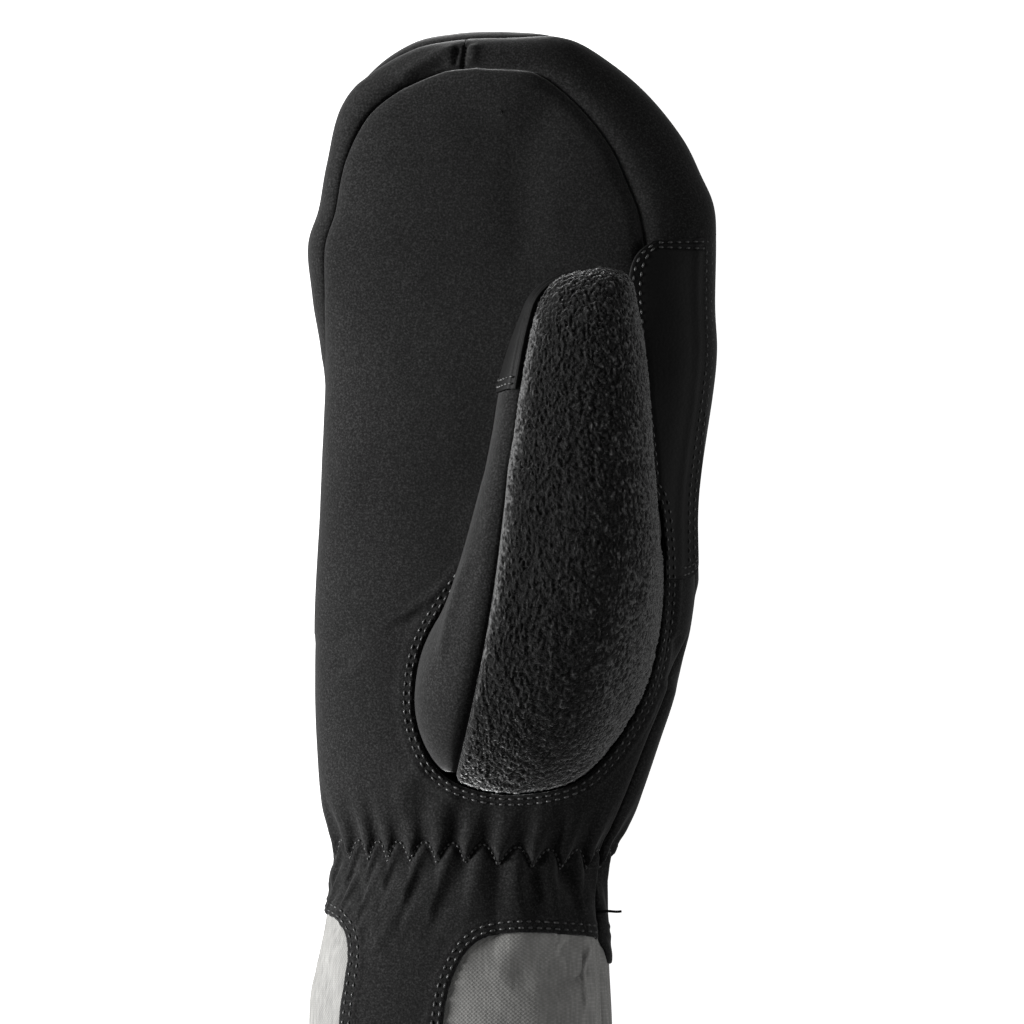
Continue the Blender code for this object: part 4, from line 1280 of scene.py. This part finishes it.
def stitch_mesh():
    """One stitch of unit size along x: (points, faces). Its ends dive into the cloth."""
    sides, (lift, dive) = STITCH_SIDES, STITCH_ARCH
    points, faces = [], []
    for x, girth in STITCH_RINGS:
        for n in range(sides):
            turn = 2 * math.pi * n / sides
            height = girth * math.sin(turn) / 2 + lift - dive * x * x
            points.append((x, girth * math.cos(turn) / 2, height))
    for i in range(len(STITCH_RINGS) - 1):
        for n in range(sides):
            a, b = i * sides + n, i * sides + (n + 1) % sides
            faces.append([a, a + sides, b + sides, b])
    faces.append(list(range(sides)))
    faces.append(list(range(len(points) - 1, len(points) - sides - 1, -1)))
    return np.array(points), faces


def spaced_out(path, pitch):
    """(places, directions, normals) every pitch along a path of points and normals."""
    points, normals = path
    lengths = np.append(0.0, np.cumsum(np.linalg.norm(np.diff(points, axis=0), axis=1)))
    count = int(lengths[-1] / pitch)
    if count < 1:
        return []

    def read(at, values):
        return np.stack([np.interp(at, lengths, values[:, a]) for a in range(3)], axis=1)

    want = (np.arange(count) + 0.5) * lengths[-1] / count
    places, ups = read(want, points), read(want, normals)
    runs = read(want + pitch / 3, points) - read(want - pitch / 3, points)
    return list(zip(places, runs, ups))


def stitched(name, paths, look, pitch=STITCH_PITCH, size=STITCH_SIZE):
    """One object with a stitch at every pitch of each path."""
    shape, faces = stitch_mesh()
    points, all_faces = [], []
    for place, run, up in (spot for path in paths for spot in spaced_out(path, pitch)):
        run = run / max(np.linalg.norm(run), 1e-12)
        side = np.cross(up, run)
        side /= max(np.linalg.norm(side), 1e-12)
        up = np.cross(run, side)
        base = len(points) * len(shape)
        length = min(size[0], STITCH_FILL * pitch)
        points.append(place + shape @ (np.array([run, side, up]) * [[length], [size[1]], [size[2]]]))
        all_faces += [[v + base for v in face] for face in faces]
    return piece(name, np.vstack(points), all_faces, look)[0]


def runs_of(points, normals, good):
    """The stretches of a path where good holds."""
    found, start = [], None
    for i, ok in enumerate(list(good) + [False]):
        if ok and start is None:
            start = i
        if not ok and start is not None:
            if i - start > 2:
                found.append((points[start:i], normals[start:i]))
            start = None
    return found


def cast(curve, trees, downwards=True):
    """A flat curve laid onto the first of these surfaces that each of its points meets."""
    way = Vector((0, 0, -1 if downwards else 1))
    spots, ups, good = [], [], []
    for x, y in curve:
        hits = [tree.ray_cast(Vector((x, y, -CAST_FROM * way.z)), way) for tree in trees]
        hits = [hit for hit in hits if hit[0] is not None and abs(hit[1].z) > CAST_FACING]
        best = min(hits, key=lambda hit: hit[3]) if hits else None
        good.append(best is not None)
        spots.append(tuple(best[0]) if best else (0, 0, 0))
        ups.append(tuple(best[1]) if best else (0, 0, 1))
    return runs_of(np.array(spots), np.array(ups), good)


def grid_point(grid, row, column):
    """Points of a grid at fractional rows and columns; the columns close on themselves."""
    row = np.clip(row, 0, grid.shape[0] - 1.001)
    k, j = row.astype(int), np.floor(column).astype(int)
    s, t = (row - k)[:, None], (column - j)[:, None]
    j, beside = j % grid.shape[1], (j + 1) % grid.shape[1]
    low = grid[k, j] * (1 - t) + grid[k, beside] * t
    high = grid[k + 1, j] * (1 - t) + grid[k + 1, beside] * t
    return low * (1 - s) + high * s


def sideways(curve, distance):
    """A flat curve moved to the left of its run."""
    run = np.gradient(curve, axis=0)
    run /= np.linalg.norm(run, axis=1, keepdims=True)
    return curve + np.stack([-run[:, 1], run[:, 0]], axis=1) * distance


def elastic_path(form, surface):
    arcs, numbers, count, wrist_arc = pleat_numbers(form)
    phase = np.linspace(0, count, ELASTIC_STEPS * count + 1)
    arc = np.interp(phase, numbers, arcs)
    wrist = np.argmin(np.abs(form.y - (ELASTIC_SHARE - 0.5) * LENGTH))
    half = wrist_arc.argmax()
    turned = np.concatenate([wrist_arc[: half + 1], wrist_arc[half + 1 :] + round_of(form, wrist)])
    turned = np.append(turned, round_of(form, wrist))
    column = np.interp(arc % round_of(form, wrist), turned, np.arange(len(turned)))
    x = grid_point(form.points, np.full_like(column, wrist), column)[:, 0] / WIDTH
    on_palm = grid_point(form.normals, np.full_like(column, wrist), column)[:, 2] > 0
    middle = elastic_middle(x, on_palm)
    row = np.interp((middle - 0.5) * LENGTH + zigzag(phase), form.y, np.arange(len(form.y)))
    return grid_point(surface, row, column), grid_point(form.normals, row, column)


def round_of(form, row):
    """Length once round a row."""
    points = form.points[row]
    return np.linalg.norm(np.roll(points, -1, axis=0) - points, axis=1).sum()


def hem_path(form, surface):
    hem_row = np.interp(HEM_ROW - LENGTH / 2, form.y, np.arange(len(form.y)))
    row = np.full(form.points.shape[1] + 1, hem_row)
    column = np.arange(len(row), dtype=float)
    points, normals = grid_point(surface, row, column), grid_point(form.normals, row, column)
    on_gore = both_gores(points) < 0
    points[on_gore] -= normals[on_gore] * GORE_RECESS
    return points, normals


def patch_paths(surface):
    """Rows of stitches inside the cut edges of the index reinforcement."""
    plain, normals, _ = index_patch_grid()
    away, clear = rim_distance(plain), hole_distance(plain)
    rows, columns = plain.shape[:2]
    down, over = run_lengths(plain)
    found = []
    for inset, side_inset in zip(PATCH_ROWS, PATCH_SIDE_ROWS):
        k, j = np.arange(rows, dtype=float), np.arange(columns - 1, dtype=float)
        left = [np.interp(inset, over[n], np.arange(columns)) for n in range(rows)]
        x = surface[..., 0]
        right = [np.interp(x[n].max() - side_inset, x[n], np.arange(columns)) for n in range(rows)]
        top = [np.interp(inset, down[:, n], np.arange(rows)) for n in range(columns - 1)]
        foot = [np.interp(down[-1, n] - inset, down[:, n], np.arange(rows)) for n in range(columns - 1)]
        for row, column in ((k, left), (k, right), (top, j), (foot, j)):
            row, column = np.array(row), np.minimum(np.array(column), columns - 1.001)
            good = grid_point(away[..., None], row, column)[:, 0] > ROW_CLEAR * inset
            good &= grid_point(clear[..., None], row, column)[:, 0] > HOLE_ROWS[1] + MM
            found += runs_of(grid_point(surface, row, column), grid_point(normals, row, column), good)
    return found


def thumb_patch_paths(form):
    first, last = FRONT_COLUMNS
    column = np.linspace(first + THUMB_PATCH_ENDS, last - THUMB_PATCH_ENDS, THUMB_PATCH_STEPS)
    share = (column - first) / (last - first)
    fine = column * form.points.shape[1] / THUMB_COLUMNS
    found = []
    for rise in THUMB_PATCH_ROWS:
        place = patch_edge(share) + rise
        row = np.interp(place, form.place[1:], np.arange(1, len(form.place)))
        normals = grid_point(form.normals, row, fine)
        points = grid_point(form.points, row, fine) + normals * (PATCH_CLEARANCE + PATCH_WALL)
        found.append((points, normals))
    return found


def build_stitching(form, surface, panels, index_patch, patch_surface, thumb, looks):
    palm, back = tree_of(panels["palm_panel"]), tree_of(panels["back_panel"])
    patch = tree_of(index_patch)
    turn = np.linspace(0, 360, 361)
    paths = []
    for row in HOLE_ROWS:
        paths += cast(hole_points(turn, -row), [palm, patch])
    stitched("thumb_hole_stitching", paths, looks["thread"])
    paths = []
    for row in STITCH_ROWS:
        for side, way in (("little", -1), ("index", 1)):
            curve = sideways(open_curve(GORE_EDGES[side]), way * row)
            paths += cast(curve, [palm]) + cast(curve, [back], downwards=False)
    stitched("cuff_stitching", paths, looks["thread"])
    stitched("hem_stitching", [hem_path(form, surface)], looks["thread"])
    stitched("elastic_stitching", [elastic_path(form, surface)], looks["thread"], ELASTIC_PITCH)
    stitched("patch_stitching", patch_paths(patch_surface), looks["thread"])
    stitched("thumb_patch_stitching", thumb_patch_paths(thumb), looks["thread"], THUMB_PATCH_PITCH)


def build_thread_end(form, surface, looks):
    """The end of a thread that was left long at the side seam."""
    curve = np.linspace(flat(THREAD_FROM), flat(THREAD_TO), THREAD_STEPS)
    away = np.linalg.norm(surface[..., :2] - curve[0], axis=2)
    away = np.where(form.normals[..., 2] > 0, away, LENGTH)
    top = surface.reshape(-1, 3)[away.argmin(), 2]
    t = np.linspace(0, 1, THREAD_STEPS)
    line = np.column_stack([curve, top + THREAD_RISE - THREAD_DROP * t * t])
    height, turns = THREAD_WAVE
    line[:, 1] += height * np.sin(turns * t)
    data = bpy.data.curves.new("loose_thread_end", "CURVE")
    data.dimensions = "3D"
    data.bevel_depth = THREAD_WIDTH / 2
    data.bevel_resolution = 2
    data.use_fill_caps = True
    strand = data.splines.new("POLY")
    strand.points.add(len(line) - 1)
    for point, place in zip(strand.points, line):
        point.co = (*place, 1)
    data.materials.append(looks["reinforcement"])
    obj = bpy.data.objects.new("loose_thread_end", data)
    bpy.context.scene.collection.objects.link(obj)
    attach(obj, BODY)


def build_fibres(fleece, looks):
    """Short curled fibres that stand out of the fleece."""
    chance = np.random.default_rng(FIBRE_SEED)
    outer = [p for p in fleece.data.polygons if p.area < OUTER_FACE]
    picks = chance.integers(0, len(outer), FIBRES)
    centres = np.array([outer[i].center[:] for i in picks])
    ups = np.array([outer[i].normal[:] for i in picks])
    lean = chance.normal(0, 1, (FIBRES, 3))
    lean -= ups * (lean * ups).sum(axis=1, keepdims=True)
    lean /= np.linalg.norm(lean, axis=1, keepdims=True)
    curl = np.cross(ups, lean)
    length = chance.uniform(*FIBRE_LENGTH, FIBRES)[:, None]
    width = curl * FIBRE_WIDTH / 2
    height, bend = FIBRE_ARCH
    points = []
    for t in FIBRE_STATIONS:
        rise = ups * (height * math.sin(bend * t))
        spot = centres + length * (rise + lean * (FIBRE_LEAN * t) + curl * (FIBRE_CURL * t * t))
        spot = spot - ups * FIBRE_ROOT
        half = width * (1 - FIBRE_TAPER * t)
        points += [spot - half, spot + half]
    stack = np.stack(points, axis=1).reshape(-1, 3)
    corners = len(points)
    faces = []
    for base in range(0, FIBRES * corners, corners):
        faces += [[base + a, base + a + 1, base + a + 3, base + a + 2] for a in range(0, corners - 2, 2)]
    return piece("fleece_fibres", stack, faces, looks["fibre"])[0]


# Materials


def new_look(name, roughness, specular, sheen=0.0):
    """A material with its even values set on the shader: (material, tree, shader)."""
    look = bpy.data.materials.new(name)
    look.use_nodes = True
    shader = look.node_tree.nodes["Principled BSDF"]
    shader.inputs["Roughness"].default_value = roughness
    shader.inputs["Specular IOR Level"].default_value = specular
    shader.inputs["Sheen Weight"].default_value = sheen
    shader.inputs["Sheen Roughness"].default_value = SHEEN_ROUGHNESS
    return look, look.node_tree, shader


def place_of(tree):
    return tree.nodes.new("ShaderNodeTexCoord").outputs["Object"]


def noise_of(tree, where, scale, detail=2.0, rough=0.55):
    found = tree.nodes.new("ShaderNodeTexNoise")
    found.inputs["Scale"].default_value = scale
    found.inputs["Detail"].default_value = detail
    found.inputs["Roughness"].default_value = rough
    tree.links.new(where, found.inputs["Vector"])
    return found.outputs["Fac"]


def stretched(tree, where, scale):
    found = tree.nodes.new("ShaderNodeMapping")
    found.inputs["Scale"].default_value = scale
    tree.links.new(where, found.inputs["Vector"])
    return found.outputs["Vector"]


def maths(tree, kind, *values):
    found = tree.nodes.new("ShaderNodeMath")
    found.operation = kind
    for socket, value in zip(found.inputs, values):
        if isinstance(value, (int, float)):
            socket.default_value = value
        else:
            tree.links.new(value, socket)
    return found.outputs["Value"]


def ramp(tree, value, *stops):
    """Colours by value. Each stop is (value, colour)."""
    found = tree.nodes.new("ShaderNodeValToRGB")
    tree.links.new(value, found.inputs["Fac"])
    elements = found.color_ramp.elements
    while len(elements) < len(stops):
        elements.new(0.5)
    for element, (position, colour) in zip(elements, stops):
        element.position = position
        element.color = (*colour, 1) if isinstance(colour, tuple) else (colour, colour, colour, 1)
    return found.outputs["Color"]


def multiplied(tree, a, b):
    """One colour times another. Inputs 6 and 7 and output 2 are the node's colours."""
    found = tree.nodes.new("ShaderNodeMix")
    found.data_type = "RGBA"
    found.blend_type = "MULTIPLY"
    found.inputs[0].default_value = 1.0
    tree.links.new(a, found.inputs[6])
    tree.links.new(b, found.inputs[7])
    return found.outputs[2]


def bumped(tree, shader, height, distance, strength):
    found = tree.nodes.new("ShaderNodeBump")
    found.inputs["Distance"].default_value = distance
    found.inputs["Strength"].default_value = strength
    tree.links.new(height, found.inputs["Height"])
    tree.links.new(found.outputs["Normal"], shader.inputs["Normal"])


def softshell_look():
    """Matt black cloth with a fine brushed face of dark and light hairs."""
    look, tree, shader = new_look("softshell", roughness=0.88, specular=0.10, sheen=0.40)
    where = place_of(tree)
    hairs = noise_of(tree, where, scale=1900, detail=2.5, rough=0.65)
    colour = ramp(tree, hairs, (0.34, 0.0050), (0.52, 0.0122), (0.70, 0.031))
    worn = ramp(tree, noise_of(tree, where, scale=28, detail=3.0), (0.30, 0.88), (0.70, 1.12))
    colour = multiplied(tree, colour, worn)
    tree.links.new(colour, shader.inputs["Base Color"])
    grain = maths(tree, "ADD", hairs, noise_of(tree, where, scale=800, detail=1.0))
    bumped(tree, shader, grain, distance=0.00015, strength=0.55)
    return look


def fleece_look():
    """Dark pile whose colour rises with the height of its tufts, and with the painted highlight beside the
    front's seam and the painted sheen on the side facing right.
    """
    look, tree, shader = new_look("fleece", roughness=0.95, specular=0.05, sheen=1.0)
    where = place_of(tree)
    height = tree.nodes.new("ShaderNodeAttribute")
    height.attribute_name = PILE_AND_LIGHT_ATTRIBUTE
    # Colour by the pile's tone; its palest stops come mostly from the painted highlight and painted sheen.
    pile_and_light_tones = ((0.25, 0.0034), (0.50, 0.0072), (0.80, 0.0165), (1.0, 0.080))
    colour = ramp(tree, height.outputs["Fac"], *pile_and_light_tones)
    nubs = noise_of(tree, stretched(tree, where, NUB_STRETCH), scale=1650, detail=1.5, rough=0.6)
    shade = ramp(tree, nubs, (0.34, 0.58), (0.66, 1.45))
    tree.links.new(multiplied(tree, colour, shade), shader.inputs["Base Color"])
    bumped(tree, shader, nubs, distance=0.0006, strength=0.8)
    return look


def fibre_look():
    look, tree, shader = new_look("fleece_fibre", roughness=0.9, specular=0.10, sheen=0.2)
    shade = ramp(tree, noise_of(tree, place_of(tree), scale=900, detail=1.0), (0.35, 0.022), (0.65, 0.085))
    tree.links.new(shade, shader.inputs["Base Color"])
    return look


def reinforcement_look():
    """Smooth coated cloth with a fine pebble grain."""
    look, tree, shader = new_look("reinforcement", roughness=0.62, specular=0.14)
    where = place_of(tree)
    pebbles = tree.nodes.new("ShaderNodeTexVoronoi")
    pebbles.inputs["Scale"].default_value = PEBBLE_SCALE
    tree.links.new(where, pebbles.inputs["Vector"])
    worn = noise_of(tree, where, scale=70, detail=3.0)
    colour = ramp(tree, worn, (0.30, 0.0038), (0.70, 0.0070))
    shade = ramp(tree, pebbles.outputs["Distance"], (0.1, 1.15), (0.8, 0.75))
    tree.links.new(multiplied(tree, colour, shade), shader.inputs["Base Color"])
    bumped(tree, shader, pebbles.outputs["Distance"], distance=-0.00012, strength=0.35)
    return look


def woven_look():
    """Light grey plain weave."""
    look, tree, shader = new_look("woven", roughness=0.75, specular=0.25, sheen=0.05)
    where = place_of(tree)
    parts = tree.nodes.new("ShaderNodeSeparateXYZ")
    tree.links.new(where, parts.inputs["Vector"])
    across = maths(tree, "ADD", parts.outputs["X"], parts.outputs["Z"])
    turns = 2 * math.pi / WEAVE_PITCH
    warp = maths(tree, "SINE", maths(tree, "MULTIPLY", across, turns))
    weft = maths(tree, "SINE", maths(tree, "MULTIPLY", parts.outputs["Y"], turns))
    crossings = maths(tree, "MULTIPLY", warp, weft)
    slubs = noise_of(tree, stretched(tree, where, SLUB_STRETCH), scale=1200, detail=2.0)
    colour = ramp(tree, slubs, (0.30, (0.225, 0.223, 0.216)), (0.70, (0.310, 0.307, 0.296)))
    shade = ramp(tree, crossings, (0.0, 0.86), (1.0, 1.06))
    worn = ramp(tree, noise_of(tree, where, scale=45, detail=2.0), (0.30, 0.93), (0.70, 1.05))
    colour = multiplied(tree, multiplied(tree, colour, shade), worn)
    tree.links.new(colour, shader.inputs["Base Color"])
    relief = maths(tree, "MULTIPLY_ADD", crossings, WEAVE_RELIEF)
    bumped(tree, shader, maths(tree, "ADD", relief, slubs), distance=0.00012, strength=0.5)
    return look


def thread_look():
    """Dark polyester thread with a slight gloss, paler than the cloth."""
    look, tree, shader = new_look("thread", roughness=0.42, specular=0.45)
    where = place_of(tree)
    shade = ramp(tree, noise_of(tree, where, scale=900, detail=1.0), (0.35, 0.022), (0.65, 0.060))
    tree.links.new(shade, shader.inputs["Base Color"])
    bumped(tree, shader, noise_of(tree, where, scale=4500, detail=0.0), distance=0.0001, strength=0.5)
    return look


def build_looks():
    return {
        "softshell": softshell_look(),
        "fleece": fleece_look(),
        "fibre": fibre_look(),
        "reinforcement": reinforcement_look(),
        "woven": woven_look(),
        "thread": thread_look(),
    }


def build_camera():
    data = bpy.data.cameras.new("camera")
    camera = bpy.data.objects.new("camera", data)
    bpy.context.scene.collection.objects.link(camera)
    middle = (PHOTO_SIZE - 1) / 2
    x = (middle - PHOTO_ZERO[0]) * PHOTO_SCALE
    y = (PHOTO_ZERO[1] - middle) * PHOTO_SCALE
    camera.location = (x, y, CAMERA_HEIGHT + MIDDLE_HEIGHT)
    data.sensor_width = SENSOR
    data.lens = SENSOR * CAMERA_HEIGHT / (PHOTO_SIZE * PHOTO_SCALE)
    data.clip_start, data.clip_end = CAMERA_CLIP
    bpy.context.scene.camera = camera


def build_lights():
    scene = bpy.context.scene
    scene.view_settings.view_transform = "Standard"
    world = bpy.data.worlds.new("studio")
    scene.world = world
    world.use_nodes = True
    colour = (WORLD_LEVEL, WORLD_LEVEL, WORLD_LEVEL, 1)
    world.node_tree.nodes["Background"].inputs["Color"].default_value = colour
    for sun in SUNS:
        data = bpy.data.lights.new(sun.name, "SUN")
        data.energy = sun.strength * math.pi
        data.angle = math.radians(sun.spread)
        light = bpy.data.objects.new(sun.name, data)
        scene.collection.objects.link(light)
        turn, rise = math.radians(sun.azimuth), math.radians(sun.elevation)
        towards = Vector((math.cos(turn) * math.cos(rise), math.sin(turn) * math.cos(rise), math.sin(rise)))
        light.rotation_euler = towards.to_track_quat("Z", "Y").to_euler()


def build_floor():
    """A floor as white as the photo's ground, which throws no light back onto the mitten."""
    half = FLOOR_HALF
    corners = [(-half, -half, 0), (half, -half, 0), (half, half, 0), (-half, half, 0)]
    mesh = bpy.data.meshes.new("floor")
    mesh.from_pydata(corners, [], [[0, 1, 2, 3]])
    floor = bpy.data.objects.new("floor", mesh)
    floor.location.z = -FLOOR_DROP
    bpy.context.scene.collection.objects.link(floor)
    look = bpy.data.materials.new("floor_look")
    look.use_nodes = True
    shader = look.node_tree.nodes["Principled BSDF"]
    shader.inputs["Base Color"].default_value = (FLOOR_GREY, FLOOR_GREY, FLOOR_GREY, 1)
    shader.inputs["Roughness"].default_value = FLOOR_ROUGHNESS
    shader.inputs["Specular IOR Level"].default_value = 0.0
    shader.inputs["Emission Color"].default_value = (1, 1, 1, 1)
    shader.inputs["Emission Strength"].default_value = 1.0
    mesh.materials.append(look)
    floor.visible_diffuse = False
    floor.visible_glossy = False


build_camera()
build_lights()
build_floor()
looks = build_looks()
hand = hand_form()
panels, hand_surface = build_hand(hand, looks)
panels |= build_gores(hand, looks)
thumb_panels, thumb = build_thumb(looks)
index_patch, patch_surface = build_index_patch(looks)
build_stitching(hand, hand_surface, panels, index_patch, patch_surface, thumb, looks)
build_thread_end(hand, hand_surface, looks)
build_fibres(thumb_panels["thumb_fleece"], looks)
